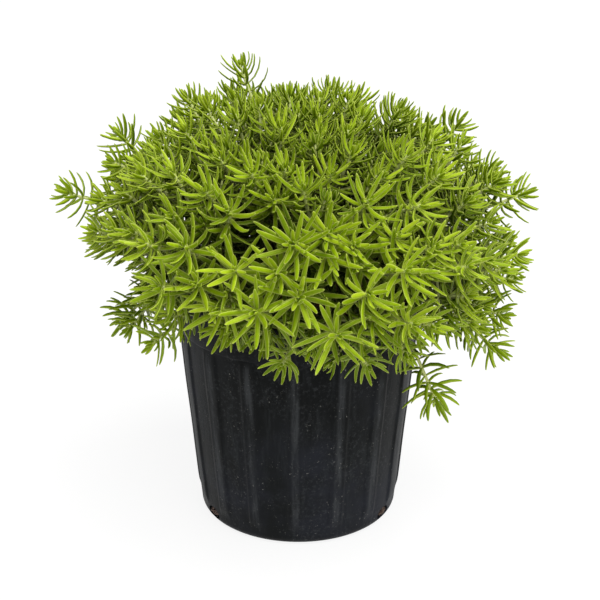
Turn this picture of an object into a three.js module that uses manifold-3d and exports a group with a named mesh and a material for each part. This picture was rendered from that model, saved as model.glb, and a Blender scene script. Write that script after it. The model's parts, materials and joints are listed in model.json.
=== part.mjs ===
// A lemon ball sedum in a black nursery pot.
// Lengths are millimetres and +Z is up. The origin is the centre of the pot's flat underside, and the
// front is -Y. The plant is a dome of leafy stems. Each stem rises from a hole in the soil and forks a few
// times, and every shoot ends in a tuft of needle leaves. Side shoots and leaves are raised from the faces
// of the stem that carries them, so a whole stem with its shoots and leaves is one closed skin.

import * as THREE from "three";
import { mergeVertices } from "three/addons/utils/BufferGeometryUtils.js";
import Module from "manifold-3d";

const wasm = await Module();
wasm.setup();

const DEG = Math.PI / 180;
const UP = new THREE.Vector3(0, 0, 1);
const GAP = 0.35; // between pieces that touch on the real plant
const PAST = 1; // how far a cutting shape runs past the face that it cuts
const MERGE_WITHIN = 1e-4;
const TINY = 1e-9;

// The pot
const POT_HEIGHT = 165;
const CORNER_RADIUS = 6.5; // between the underside and the wall
const FOOT_RADIUS = 67.2; // of the wall where it leaves the corner
const WALL_SLOPE = 0.0946; // how much the wall's radius grows with height
const WALL = 1.6;
const FLOOR = 3;
const BAND_START = 137; // the plain band under the rim
const BAND_STEP = 1.3;
const LIP_BEVEL = [1, 2]; // across and down
const RIB_COUNT = 16;
const RIB_TURN = -1.5 * DEG; // the nearest rib lies a little left of the front
const RIB_HALF_WIDTH = 3.2 * DEG;
const RIB_RAMP = 1.4 * DEG;
const RIB_HEIGHT = 1.2;
const RIB_START = 12;
const RIB_FADE = 4;
const INSIDE_SIDES = 32;
const DRAIN_AZIMUTHS = [-59 * DEG, 59 * DEG, 180 * DEG];
const DRAIN_HEIGHT = 6.2;
const DRAIN_SIZE = [7, 4.4]; // half width and half height
const DRAIN_LENGTH = 24;
const DRAIN_SIDES = 10;
const DRAIN_DROP = 32 * DEG; // how far the hole's axis points down

// The soil
const SOIL_TOP = 147;
const HOLE_DEPTH = 12;
const ROOTED_RADIUS = 68; // of the circle of soil that the stems stand in

// The crown is the dome of shoots about this centre. Its angles are from the front towards the right, and
// from straight up.
const CROWN_CENTRE = new THREE.Vector3(0, 0, 165);
const STEM_COUNT = 56;
const SHOOT_COUNT = 205;
const HEM = 98 * DEG; // the angle of the lowest shoots
const HEM_LIFT_IN_FRONT = 4 * DEG;
const HEM_DROP_AT_SIDES = 13 * DEG;
const TOP_REACH = 118;
const SHOULDER_REACH = 136;
const HEM_REACH = 112;
const SIDE_REACH = 12; // the crown is this much wider to the left and right
const DENT_DEPTH = 28; // under the left shoulder, where the crown draws in before its hem
const DENT_POLAR = 92 * DEG;
const DENT_EXTENT = [3 * DEG, 15 * DEG];
const DENT_SIDE = [0.4, 0.9]; // as sines of the azimuth
const SHOULDER_AT = 60 * DEG;
const HEM_TURN = [72 * DEG, 98 * DEG]; // the dome draws in again between these angles
const SIDE_TURN = [40 * DEG, 80 * DEG]; // the extra width grows between these angles
const UNEVENNESS = 12; // of the dome's surface
const SHOOT_LOOSENESS = 7 * DEG;
const STEM_LOOSENESS = 4 * DEG;
const ROOT_SPREAD = 0.75; // under 1, the stems stand nearer the edge than their directions point
const UPRIGHT_SHARE = 0.93; // of its angle on the dome, so that a shoot points a little more upright
const DROOP = 34 * DEG;
const DROOP_TURN = [80 * DEG, 112 * DEG];
const STEEPEST_DROOP = 128 * DEG; // a hanging shoot turns outwards again at its tip
const TURN_UP = 16 * DEG; // how loosely the shoots point, up and down
const TURN_ASIDE = 18 * DEG;

// Random numbers: a seed, the factors that scatter them, and one stream for each thing that varies
const SEED = 2.3;
const SCATTER = [12.9898, 78.233, 43758.5453];
const SHOOT_STREAM = 1;
const REACH_STREAM = 3;
const TURN_UP_STREAM = 5;
const TURN_ASIDE_STREAM = 6;
const STEM_STREAM = 11;
const FORK_STREAM = 21;
const LEAN_STREAM = 31;
const LENGTH_STREAM = 51;

// The shoots that stand out of the dome, hang below it or face the front: azimuth, angle from straight up,
// and reach
const MARKED_SHOOTS = [
  [-145, 27, 147],
  [-125, 36, 133],
  [180, 22, 122],
  [152, 25, 128],
  [123, 38, 128],
  [110, 50, 149],
  [101, 63, 150],
  [98, 71, 162],
  [90, 90, 145],
  [86, 110, 143],
  [-97, 71, 166],
  [-108, 55, 154],
  [-94, 80, 138],
  [-88, 107, 120],
  [0, 73, 140],
  [18, 73, 140],
  [10, 83, 136],
  [36, 70, 138],
  [30, 60, 136],
  [31, 83, 135],
  [-17, 67, 137],
  [-28, 72, 136],
  [-14, 77, 130],
  [-24, 85, 114],
  [-6, 84, 112],
  [20, 95, 124],
  [-5, 95, 118],
  [9, 57, 136],
  [-59, 81, 112],
  [-72, 86, 102],
  [-22, 78, 128],
  [-12, 88, 105],
  [-50, 96, 121],
  [86, 100, 140],
  [-115, 35, 141],
];

// One more stem arches over the rim and hangs beside the pot. These are its root, the two points that pull
// its curve, and its tip: azimuth, distance from the middle of the pot, and height.
const HANGING_CURVE = [
  [45, ROOTED_RADIUS, SOIL_TOP],
  [45, 68, 197],
  [38, 98, 178],
  [57, 107, 101],
];

// The leafy end of a shoot. Its whorls are listed from the tip down: how far the leaves lean out, and their
// length.
const WHORL_SPACING = 5.5;
const WHORLS = [
  { lean: 42 * DEG, length: 17 },
  { lean: 54 * DEG, length: 21 },
  { lean: 64 * DEG, length: 23 },
  { lean: 72 * DEG, length: 23 },
];
const FRONT_GROWTH = 0.22; // leaves that face the front are longer by this share
const FRONT_TURN = [40 * DEG, 62 * DEG];
const HEM_SHRINK = 0.28; // and along the front's hem they are shorter by this share
const HEM_SHRINK_TURN = [80 * DEG, 100 * DEG];
const TIP_LEAN = 20 * DEG;
const TIP_LENGTH = 12;
const TIP_CONE = 3; // the shoot's own point beyond its last ring
const TIP_RING_SHARE = 0.8; // of the stem's radius
const LEAVES_NUMBERED = 40; // a shoot's leaves have this many numbers to themselves
const BARE_EVERY = 3; // every third face of a whorl carries no leaf
const LEAN_LOOSENESS = 12 * DEG;
const LENGTH_LOOSENESS = 0.2;
const LEAF_POINT = 0.1; // the radius that a leaf's end is taken to have

// A leaf that meets something swings aside, leans in and gets shorter, until it is clear or is left out
const LEAF_TRIES = 12;
const LEAF_SWING = 3.5 * DEG;
const LEAF_TUCK = 1 * DEG;
const LEAF_SHORTENING = 0.04;
const LEAF_CHECKS = [0, 0.25, 0.5, 0.75, 1]; // where along its length a leaf is checked against the pot
const POT_CLEARANCE = 0.5;
const OWN_LEAVES_APART = 4.5; // between the ends of a shoot's own leaves
const OWN_BASE_SHARE = 0.25; // leaves of one shoot may touch over this share of their length
const OWN_THICKNESS_SHARE = 0.4; // and only this share of their thickness counts beyond it

// The stems
const STEM_RADIUS = 1.6; // of the circle through a stem's three edges
const STEM_FOOT = 1; // a stem stands straight until it is this far above the soil
const FORK_BAND = 3.4; // the height of the faces that a side shoot grows from
const FORK_ANGLE = 45 * DEG;
const SHARPEST_FORK = 36 * DEG; // where the main shoot bends towards the side shoot
const OPENING_AT = 16; // this far beyond a fork, its two shoots are at least the opening apart
const FORK_OPENING = 9;
const FORK_START = 6; // a side shoot's own rings start this far along its path
const FORK_TOWARDS = 10; // a side shoot grows from the face that looks at this place on its path
const LOWEST_FORK = 10.8;
const SHORTEST_SIDE_SHOOT = 40;
const LONGEST_BAND = 26;
const STEM_SPACING = 4.3; // between the middles of two stems
const PATH_STEPS = 48;
const BESIDE_MAIN_STEPS = 10; // the first steps of a side shoot, which are beside its main shoot
const RIM_INSIDE = 6; // how far from the rim a path keeps, inside, outside and above
const RIM_OUTSIDE = 3;
const RIM_ABOVE = 2;

// A path's curve is pulled up at its start and back at its end, by shares of the distance from start to
// end. Where it isn't clear, the next rise is tried, and after the last rise the next bow aside.
const MAIN_RISES = 12;
const MAIN_PULL_UP = 0.28;
const MAIN_PULL_UP_STEP = 0.08;
const MAIN_PULL_BACK = 0.36;
const MAIN_PULL_BACK_STEP = 0.04;
const MAIN_BOWS = [0, 0.12, -0.12, 0.24, -0.24, 0.36, -0.36];
const SIDE_FORKS = 10;
const HIGHEST_FORK = 0.74; // as a share of the main shoot's length
const FORK_STEP_DOWN = 0.055;
const FORK_LOOSENESS = 0.04;
const SIDE_PULL_OUT = 0.3;
const SIDE_PULL_BACK = 0.4;
const SIDE_BOWS = [0, 0.15, -0.15, 0.3, -0.3];

// A number from 0 to 1 that looks random and is the same each time for the same two numbers
function draw(a, b) {
  const x = Math.sin(a * SCATTER[0] + b * SCATTER[1] + SEED) * SCATTER[2];
  return x - Math.floor(x);
}

// From 0 below the first limit to 1 above the second
function smooth(x, [from, to]) {
  const t = Math.min(1, Math.max(0, (x - from) / (to - from)));
  return t * t * (3 - 2 * t);
}

function direction(azimuth, polar) {
  const out = Math.sin(polar);
  return new THREE.Vector3(out * Math.sin(azimuth), -out * Math.cos(azimuth), Math.cos(polar));
}

// From a closed geometry to a solid that can be cut, and back
function solidOf(geometry) {
  const bare = geometry.clone();
  bare.deleteAttribute("normal");
  bare.deleteAttribute("uv");
  const merged = mergeVertices(bare, MERGE_WITHIN);
  return new wasm.Manifold(
    new wasm.Mesh({
      numProp: 3,
      vertProperties: merged.attributes.position.array,
      triVerts: new Uint32Array(merged.index.array),
    }),
  );
}

function geometryOf(solid) {
  const mesh = solid.getMesh();
  const geometry = new THREE.BufferGeometry();
  geometry.setAttribute("position", new THREE.BufferAttribute(mesh.vertProperties, 3));
  geometry.setIndex(new THREE.BufferAttribute(mesh.triVerts, 1));
  return geometry;
}

// A closed solid from rings of points, lowest first, with a flat cap at each end
function stackOfRings(rings) {
  const sides = rings[0].length;
  const index = [];
  for (let k = 0; k + 1 < rings.length; k++) {
    for (let i = 0; i < sides; i++) {
      const a = k * sides + i;
      const b = k * sides + ((i + 1) % sides);
      index.push(a, b, b + sides, a, b + sides, a + sides);
    }
  }
  const last = (rings.length - 1) * sides;
  for (let i = 1; i + 1 < sides; i++) {
    index.push(0, i + 1, i);
    index.push(last, last + i, last + i + 1);
  }
  const geometry = new THREE.BufferGeometry();
  const positions = rings.flat().flatMap((p) => [p.x, p.y, p.z]);
  geometry.setAttribute("position", new THREE.Float32BufferAttribute(positions, 3));
  geometry.setIndex(index);
  return solidOf(geometry);
}

function wallRadius(height) {
  return FOOT_RADIUS + (height - CORNER_RADIUS) * WALL_SLOPE;
}

// A ring of the pot's outside, with the ribs standing out by a share of their height
function ribbedRing(radius, height, ribShare) {
  const points = [];
  for (let rib = 0; rib < RIB_COUNT; rib++) {
    const middle = (rib / RIB_COUNT) * 2 * Math.PI + RIB_TURN;
    for (const [offset, raised] of [
      [-RIB_HALF_WIDTH - RIB_RAMP, 0],
      [-RIB_HALF_WIDTH, ribShare],
      [RIB_HALF_WIDTH, ribShare],
      [RIB_HALF_WIDTH + RIB_RAMP, 0],
    ]) {
      const spoke = direction(middle + offset, Math.PI / 2);
      points.push(spoke.multiplyScalar(radius + raised * RIB_HEIGHT).setZ(height));
    }
  }
  return points;
}

// A plain ring, for the pot's inside, the soil and the holes in it
function plainRing(radius, height, sides = INSIDE_SIDES) {
  const points = [];
  for (let i = 0; i < sides; i++) {
    points.push(direction((i / sides) * 2 * Math.PI, Math.PI / 2).multiplyScalar(radius).setZ(height));
  }
  return points;
}

function drainHole(azimuth) {
  const hole = new THREE.CylinderGeometry(1, 1, DRAIN_LENGTH, DRAIN_SIDES);
  hole.scale(DRAIN_SIZE[0], 1, DRAIN_SIZE[1]);
  hole.rotateX(DRAIN_DROP);
  hole.translate(0, -wallRadius(DRAIN_HEIGHT), DRAIN_HEIGHT);
  hole.rotateZ(azimuth);
  return solidOf(hole);
}

function pot() {
  const foot = FOOT_RADIUS - CORNER_RADIUS;
  const half = CORNER_RADIUS * Math.SQRT1_2;
  const outside = stackOfRings([
    ribbedRing(foot, 0, 0),
    ribbedRing(foot + half, CORNER_RADIUS - half, 0),
    ribbedRing(FOOT_RADIUS, CORNER_RADIUS, 0),
    ribbedRing(wallRadius(RIB_START), RIB_START, 0),
    ribbedRing(wallRadius(RIB_START + RIB_FADE), RIB_START + RIB_FADE, 1),
    ribbedRing(wallRadius(BAND_START - RIB_FADE), BAND_START - RIB_FADE, 1),
    ribbedRing(wallRadius(BAND_START), BAND_START, 0),
    ribbedRing(wallRadius(BAND_START) + BAND_STEP, BAND_START + BAND_STEP, 0),
    ribbedRing(wallRadius(POT_HEIGHT) + BAND_STEP, POT_HEIGHT - LIP_BEVEL[1], 0),
    ribbedRing(wallRadius(POT_HEIGHT) + BAND_STEP - LIP_BEVEL[0], POT_HEIGHT, 0),
  ]);
  const inside = stackOfRings([
    plainRing(foot, FLOOR),
    plainRing(wallRadius(FLOOR + CORNER_RADIUS) - WALL, FLOOR + CORNER_RADIUS),
    plainRing(wallRadius(POT_HEIGHT + PAST) - WALL, POT_HEIGHT + PAST),
  ]);
  let made = outside.subtract(inside);
  for (const azimuth of DRAIN_AZIMUTHS) made = made.subtract(drainHole(azimuth));
  return geometryOf(made);
}

// The soil fills the pot, and has a plain hole for each stem
function soil(stems) {
  const clear = WALL + GAP;
  let made = stackOfRings([
    plainRing(FOOT_RADIUS - CORNER_RADIUS - GAP, FLOOR + GAP),
    plainRing(wallRadius(FLOOR + CORNER_RADIUS) - clear, FLOOR + CORNER_RADIUS + GAP),
    plainRing(wallRadius(SOIL_TOP) - clear, SOIL_TOP),
  ]);
  const radius = STEM_RADIUS + 2 * GAP;
  for (const { root } of stems) {
    const rings = [SOIL_TOP - HOLE_DEPTH, SOIL_TOP + PAST].map((height) =>
      plainRing(radius, height, 3).map((point) => point.setX(point.x + root.x).setY(point.y + root.y)),
    );
    made = made.subtract(stackOfRings(rings));
  }
  return geometryOf(made);
}

// The angle of the lowest shoots, seen from an azimuth
function hemAngle(azimuth) {
  return HEM - HEM_LIFT_IN_FRONT * Math.cos(azimuth) + HEM_DROP_AT_SIDES * Math.sin(azimuth) ** 2;
}

// How far the end of a shoot is from the crown's centre
function reachOf(azimuth, polar) {
  const shoulder = smooth(polar, [0, SHOULDER_AT]);
  const hem = smooth(polar, HEM_TURN);
  const side = Math.sin(azimuth) ** 2 * smooth(polar, SIDE_TURN);
  const dome = TOP_REACH + (SHOULDER_REACH - TOP_REACH) * shoulder;
  const inDent = (1 - smooth(Math.abs(polar - DENT_POLAR), DENT_EXTENT)) * smooth(-Math.sin(azimuth), DENT_SIDE);
  return dome + (HEM_REACH - SHOULDER_REACH) * hem + SIDE_REACH * side - DENT_DEPTH * inDent;
}

// Directions spread evenly over the dome, each moved a little at random
function spreadDirections(count, looseness, stream) {
  const golden = Math.PI * (3 - Math.sqrt(5));
  const found = [];
  for (let i = 0; i < count; i++) {
    const even = Math.acos(1 - ((i + 0.5) / count) * (1 - Math.cos(hemAngle(i * golden))));
    const polar = Math.abs(even + (draw(i, stream) - 0.5) * looseness);
    const azimuth = i * golden + (draw(i, stream + 1) - 0.5) * looseness;
    found.push({ azimuth, polar, way: direction(azimuth, polar) });
  }
  return found;
}

function nearest(list, way) {
  return list.reduce((best, item) => (item.way.dot(way) > best.way.dot(way) ? item : best));
}

// The way a shoot points: outwards, a little more upright at the top, and drooping at the hem
function shootAxis(shoot) {
  const droop = DROOP * smooth(shoot.polar, DROOP_TURN);
  const up = (draw(shoot.number, TURN_UP_STREAM) - 0.5) * TURN_UP;
  const aside = (draw(shoot.number, TURN_ASIDE_STREAM) - 0.5) * TURN_ASIDE;
  const polar = Math.min(shoot.polar * UPRIGHT_SHARE + droop + up, STEEPEST_DROOP);
  return direction(shoot.azimuth + aside, polar);
}

function allShoots() {
  const shoots = spreadDirections(SHOOT_COUNT, SHOOT_LOOSENESS, SHOOT_STREAM);
  shoots.forEach((shoot, i) => {
    shoot.number = i;
    shoot.reach = reachOf(shoot.azimuth, shoot.polar) + (draw(i, REACH_STREAM) - 0.5) * UNEVENNESS;
  });
  const free = [...shoots];
  for (const [azimuth, polar, reach] of MARKED_SHOOTS) {
    const way = direction(azimuth * DEG, polar * DEG);
    const shoot = nearest(free, way);
    free.splice(free.indexOf(shoot), 1);
    Object.assign(shoot, { azimuth: azimuth * DEG, polar: polar * DEG, reach, way });
  }
  for (const shoot of shoots) {
    shoot.axis = shootAxis(shoot);
    shoot.tip = CROWN_CENTRE.clone().addScaledVector(shoot.way, shoot.reach);
    shoot.children = [];
  }
  return shoots;
}

// A stem has to pass over the pot's rim without touching it
function clearsRim(path) {
  const rim = wallRadius(POT_HEIGHT) + BAND_STEP;
  return path.every((point) => {
    const r = Math.hypot(point.x, point.y);
    if (point.z > POT_HEIGHT + STEM_RADIUS + RIM_ABOVE) return true;
    return r < rim - WALL - RIM_INSIDE || r > rim + RIM_OUTSIDE;
  });
}

function clearsStems(path, others) {
  const limit = STEM_SPACING ** 2;
  return others.every((other) => other.every((q) => path.every((p) => p.distanceToSquared(q) > limit)));
}

// A main shoot rises straight from the soil and bends outwards. It rises more, and bows aside, until it is
// clear.
function mainPath(root, shoot, others) {
  const span = root.distanceTo(shoot.tip);
  const aside = shoot.way.clone().cross(UP).normalize();
  for (const bow of MAIN_BOWS) {
    for (let rise = 0; rise < MAIN_RISES; rise++) {
      const pullUp = (MAIN_PULL_UP + MAIN_PULL_UP_STEP * rise) * span;
      const pullBack = (MAIN_PULL_BACK + MAIN_PULL_BACK_STEP * rise) * span;
      const path = new THREE.CubicBezierCurve3(
        root,
        root.clone().addScaledVector(UP, pullUp),
        shoot.tip.clone().addScaledVector(shoot.axis, -pullBack).addScaledVector(aside, bow * span),
        shoot.tip,
      ).getSpacedPoints(PATH_STEPS);
      if (clearsRim(path) && clearsStems(path, others)) return path;
    }
  }
  return null;
}

// The curve of a side shoot that leaves the main one at a step of its path
function sideCurve(main, at, shoot, bow) {
  const start = main.path[at];
  const along = main.path[at + 1].clone().sub(main.path[at - 1]).normalize();
  const span = start.distanceTo(shoot.tip);
  const outward = shoot.tip.clone().sub(start);
  outward.addScaledVector(along, -outward.dot(along)).normalize();
  const first = along.clone().multiplyScalar(Math.cos(FORK_ANGLE));
  first.addScaledVector(outward, Math.sin(FORK_ANGLE));
  const aside = along.cross(outward);
  return new THREE.CubicBezierCurve3(
    start,
    start.clone().addScaledVector(first, SIDE_PULL_OUT * span).addScaledVector(aside, bow * span),
    shoot.tip.clone().addScaledVector(shoot.axis, -SIDE_PULL_BACK * span),
    shoot.tip,
  ).getSpacedPoints(PATH_STEPS);
}

// A side shoot leaves the main one part of the way up, at the first place where its path is clear
function sidePath(main, shoot, others) {
  const step = main.path[1].distanceTo(main.path[0]);
  const highest = PATH_STEPS - (WHORLS.length * WHORL_SPACING + 2 * FORK_BAND) / step;
  const loose = FORK_LOOSENESS * draw(shoot.number, FORK_STREAM);
  for (const bow of SIDE_BOWS) {
    for (let fork = 0; fork < SIDE_FORKS; fork++) {
      const share = HIGHEST_FORK - FORK_STEP_DOWN * fork - loose;
      const at = Math.round(Math.min(share * PATH_STEPS, highest));
      const forkAt = at * step;
      if (forkAt < LOWEST_FORK) continue;
      if (main.children.some((child) => Math.abs(child.forkAt - forkAt) < 2 * FORK_BAND)) continue;
      const path = sideCurve(main, at, shoot, bow);
      const outer = path.slice(BESIDE_MAIN_STEPS);
      const onSide = placeAt(path, OPENING_AT);
      const onMain = placeAt(main.path, forkAt + OPENING_AT);
      const sideChord = placeAt(path, FORK_START).sub(path[0]);
      const mainChord = placeAt(main.path, forkAt + LONGEST_BAND).sub(path[0]);
      const opens = onSide.distanceTo(onMain) > FORK_OPENING;
      const parts = sideChord.angleTo(mainChord) > SHARPEST_FORK;
      const fits = opens && parts && lengthOf(path) > SHORTEST_SIDE_SHOOT;
      if (fits && clearsRim(path) && clearsStems(outer, others)) return { path, outer, forkAt };
    }
  }
  return null;
}

// The stem that hangs beside the pot is a single shoot
function hangingStem() {
  const points = HANGING_CURVE.map(([azimuth, out, height]) =>
    direction(azimuth * DEG, Math.PI / 2).multiplyScalar(out).setZ(height),
  );
  const [root, , , tip] = points;
  const path = new THREE.CubicBezierCurve3(...points).getSpacedPoints(PATH_STEPS);
  const azimuth = Math.atan2(tip.x, -tip.y);
  const polar = tip.clone().sub(CROWN_CENTRE).angleTo(UP);
  return { root, main: { number: SHOOT_COUNT, azimuth, polar, path, children: [] } };
}

// Each stem has a root in the soil, and carries the shoots nearest to its own direction
function plantStems() {
  const stems = spreadDirections(STEM_COUNT, STEM_LOOSENESS, STEM_STREAM);
  for (const stem of stems) {
    const out = ROOTED_RADIUS * Math.min(1, stem.polar / HEM) ** ROOT_SPREAD;
    stem.root = direction(stem.azimuth, Math.PI / 2).multiplyScalar(out).setZ(SOIL_TOP);
    stem.shoots = [];
  }
  for (const shoot of allShoots()) nearest(stems, shoot.way).shoots.push(shoot);
  const hanging = hangingStem();
  const paths = [hanging.main.path];
  for (const stem of stems) {
    stem.shoots.sort((a, b) => b.way.dot(stem.way) - a.way.dot(stem.way));
    for (const shoot of stem.shoots) {
      if (stem.main) break;
      shoot.path = mainPath(stem.root, shoot, paths);
      if (shoot.path) stem.main = shoot;
    }
    if (stem.main) paths.push(stem.main.path);
  }
  const standing = stems.filter((stem) => stem.main);
  for (const { main, shoots } of standing) {
    for (const shoot of shoots) {
      const found = shoot === main ? null : sidePath(main, shoot, paths);
      if (!found) continue;
      Object.assign(shoot, found);
      main.children.push(shoot);
      paths.push(found.outer);
    }
  }
  return [...standing, hanging];
}

function lengthOf(path) {
  return path[1].distanceTo(path[0]) * PATH_STEPS;
}

// The place on a path at a distance from its start
function placeAt(path, distance) {
  const at = Math.max(0, distance / path[1].distanceTo(path[0]));
  const low = Math.min(path.length - 2, Math.floor(at));
  return path[low].clone().lerp(path[low + 1], at - low);
}

// How near two segments come, and where on each that is
function nearestOnSegments(p, q, r, s) {
  const u = q.clone().sub(p);
  const v = s.clone().sub(r);
  const w = p.clone().sub(r);
  const [a, b, c, d, e] = [u.dot(u), u.dot(v), v.dot(v), u.dot(w), v.dot(w)];
  const det = a * c - b * b;
  const clamp = (x) => Math.min(1, Math.max(0, x));
  let m = det > TINY ? clamp((b * e - c * d) / det) : 0;
  const n = clamp((b * m + e) / c);
  m = clamp((b * n - d) / a);
  return { apart: w.addScaledVector(u, m).addScaledVector(v, -n).length(), m, n };
}

// What a new leaf has to stay clear of: the stems, and the leaves made so far, as tapered rods
const rods = [];

function addRod(rod) {
  const middle = rod.from.clone().add(rod.to).multiplyScalar(0.5);
  rods.push({ ...rod, middle, half: rod.from.distanceTo(rod.to) / 2 + rod.thickFrom });
}

function addStemRods(shoot) {
  let from = shoot.path[0];
  for (const ring of [...ringPlan(shoot), { at: lengthOf(shoot.path) }]) {
    const to = placeAt(shoot.path, ring.at);
    addRod({ owner: shoot, from, to, thickFrom: STEM_RADIUS, thickTo: STEM_RADIUS, isStem: true });
    from = to;
  }
}

function clearOfPot(point, thick) {
  const r = Math.hypot(point.x, point.y);
  const wall = wallRadius(point.z);
  const room = thick + POT_CLEARANCE;
  if (point.z > POT_HEIGHT + room) return true;
  if (r < wall - WALL - room) return point.z > SOIL_TOP + room;
  return r > wall + BAND_STEP + room;
}

function leafFits(owner, from, to, thick) {
  const clear = LEAF_CHECKS.every((share) => clearOfPot(from.clone().lerp(to, share), thick * (1 - share)));
  if (!clear) return false;
  const middle = from.clone().add(to).multiplyScalar(0.5);
  const half = from.distanceTo(to) / 2 + thick;
  return rods.every((rod) => {
    const own = rod.owner === owner;
    if (own && rod.isStem) return true;
    if (own && rod.to.distanceTo(to) < OWN_LEAVES_APART) return false;
    if (rod.middle.distanceTo(middle) > rod.half + half + GAP) return true;
    const start = own ? from.clone().lerp(to, OWN_BASE_SHARE) : from;
    const otherStart = own ? rod.from.clone().lerp(rod.to, OWN_BASE_SHARE) : rod.from;
    const { apart, m, n } = nearestOnSegments(start, to, otherStart, rod.to);
    const share = own ? OWN_THICKNESS_SHARE : 1;
    const thickThere = rod.thickFrom + (rod.thickTo - rod.thickFrom) * n;
    return apart > share * (thick * (1 - m) + thickThere) + GAP;
  });
}

// The end of the leaf that grows from a face, or null where nothing fits
function leafEnd(shoot, face, along, lean, length, number) {
  const foot = face[0].clone().add(face[1]).add(face[2]).multiplyScalar(1 / 3);
  const outward = face[1].clone().sub(face[0]).cross(face[2].clone().sub(face[0]));
  outward.addScaledVector(along, -outward.dot(along)).normalize();
  const aside = along.clone().cross(outward);
  const thick = Math.max(...face.map((corner) => corner.distanceTo(foot)));
  const fullSize = length * (1 + (draw(number, LENGTH_STREAM) - 0.5) * LENGTH_LOOSENESS);
  for (let attempt = 0; attempt < LEAF_TRIES; attempt++) {
    const swing = (attempt % 2 ? 1 : -1) * Math.ceil(attempt / 2) * LEAF_SWING;
    const loose = (draw(number, LEAN_STREAM + attempt) - 0.5) * LEAN_LOOSENESS;
    const bend = lean + loose - attempt * LEAF_TUCK;
    const way = along.clone().multiplyScalar(Math.cos(bend));
    way.addScaledVector(outward, Math.sin(bend) * Math.cos(swing));
    way.addScaledVector(aside, Math.sin(bend) * Math.sin(swing));
    const end = foot.clone().addScaledVector(way, fullSize * (1 - LEAF_SHORTENING * attempt));
    if (leafFits(shoot, foot, end, thick)) {
      addRod({ owner: shoot, from: foot, to: end, thickFrom: thick, thickTo: LEAF_POINT });
      return end;
    }
  }
  return null;
}

// The rings of a shoot, as distances along its path, with the whorl or the side shoot that the faces above
// them carry
function ringPlan(shoot) {
  const length = lengthOf(shoot.path) - TIP_CONE;
  const plan = [];
  for (const child of shoot.children) {
    plan.push({ at: child.forkAt - FORK_BAND / 2, child }, { at: child.forkAt + FORK_BAND / 2 });
  }
  WHORLS.forEach((whorl, k) => plan.push({ at: length - (k + 1) * WHORL_SPACING, whorl }));
  plan.push({ at: length, isTip: true });
  plan.sort((a, b) => a.at - b.at);
  const filled = [];
  let before = shoot.forkAt ? FORK_START : 0;
  for (const ring of plan) {
    const extra = Math.floor((ring.at - before) / LONGEST_BAND);
    for (let i = 1; i <= extra; i++) filled.push({ at: before + ((ring.at - before) * i) / (extra + 1) });
    filled.push(ring);
    before = ring.at;
  }
  return filled;
}

// How large a shoot's leaves are: longer where they face the front, but shorter along the front's hem
function leafGrowth({ azimuth, polar }) {
  const forwards = Math.max(0, Math.cos(azimuth)) ** 2;
  const change = FRONT_GROWTH * smooth(polar, FRONT_TURN) - HEM_SHRINK * smooth(polar, HEM_SHRINK_TURN);
  return 1 + forwards * change;
}

// Grows a shoot from three points onwards, as faces in threes. Each ring is turned a sixth of a turn from
// the last, so the six faces between two rings look six ways.
function growShoot(shoot, firstRing, faces) {
  const plans = ringPlan(shoot);
  const places = plans.map((plan) => placeAt(shoot.path, plan.at));
  const chords = [shoot.path[0], ...places].map((place, k) => {
    return (places[k] ?? shoot.path[PATH_STEPS]).clone().sub(place).normalize();
  });
  const side = firstRing[0].clone().sub(firstRing[1].clone().add(firstRing[2]).multiplyScalar(0.5));
  let low = { points: firstRing };
  let leafNumber = shoot.number * LEAVES_NUMBERED;
  const growth = leafGrowth(shoot);
  const addLeaf = (face, along, lean, length) => {
    leafNumber += 1;
    const end = leafEnd(shoot, face, along, lean, length * growth, leafNumber);
    if (end) faces.push([face[0], face[1], end], [face[1], face[2], end], [face[2], face[0], end]);
    else faces.push(face);
  };
  plans.forEach((plan, k) => {
    const along = chords[k].clone().add(chords[k + 1]).normalize();
    side.addScaledVector(along, -side.dot(along)).normalize();
    const other = along.clone().cross(side);
    const high = { ...plan };
    high.points = [0, 1, 2].map((i) => {
      const angle = (k + 1) * (Math.PI / 3) + (i * 2 * Math.PI) / 3;
      const spoke = side.clone().multiplyScalar(Math.cos(angle)).addScaledVector(other, Math.sin(angle));
      return places[k].clone().addScaledVector(spoke, STEM_RADIUS * (plan.isTip ? TIP_RING_SHARE : 1));
    });
    const band = [0, 1, 2].flatMap((i) => {
      const j = (i + 1) % 3;
      return [
        [low.points[i], low.points[j], high.points[i]],
        [high.points[i], low.points[j], high.points[j]],
      ];
    });
    if (low.child) {
      const toward = placeAt(low.child.path, FORK_TOWARDS).sub(low.child.path[0]);
      const facing = band.map((face) => {
        const normal = face[1].clone().sub(face[0]).cross(face[2].clone().sub(face[0]));
        return normal.normalize().dot(toward);
      });
      const best = facing.indexOf(Math.max(...facing));
      growShoot(low.child, band[best], faces);
      band.splice(best, 1);
    }
    band.forEach((face, i) => {
      const isBare = (i + shoot.number) % BARE_EVERY === 0;
      if (low.whorl && !isBare) addLeaf(face, chords[k], low.whorl.lean, low.whorl.length);
      else faces.push(face);
    });
    low = high;
  });
  const point = shoot.path[PATH_STEPS];
  for (let i = 0; i < 3; i++) {
    const face = [low.points[i], low.points[(i + 1) % 3], point];
    addLeaf(face, chords[plans.length], TIP_LEAN, TIP_LENGTH);
  }
}

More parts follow.
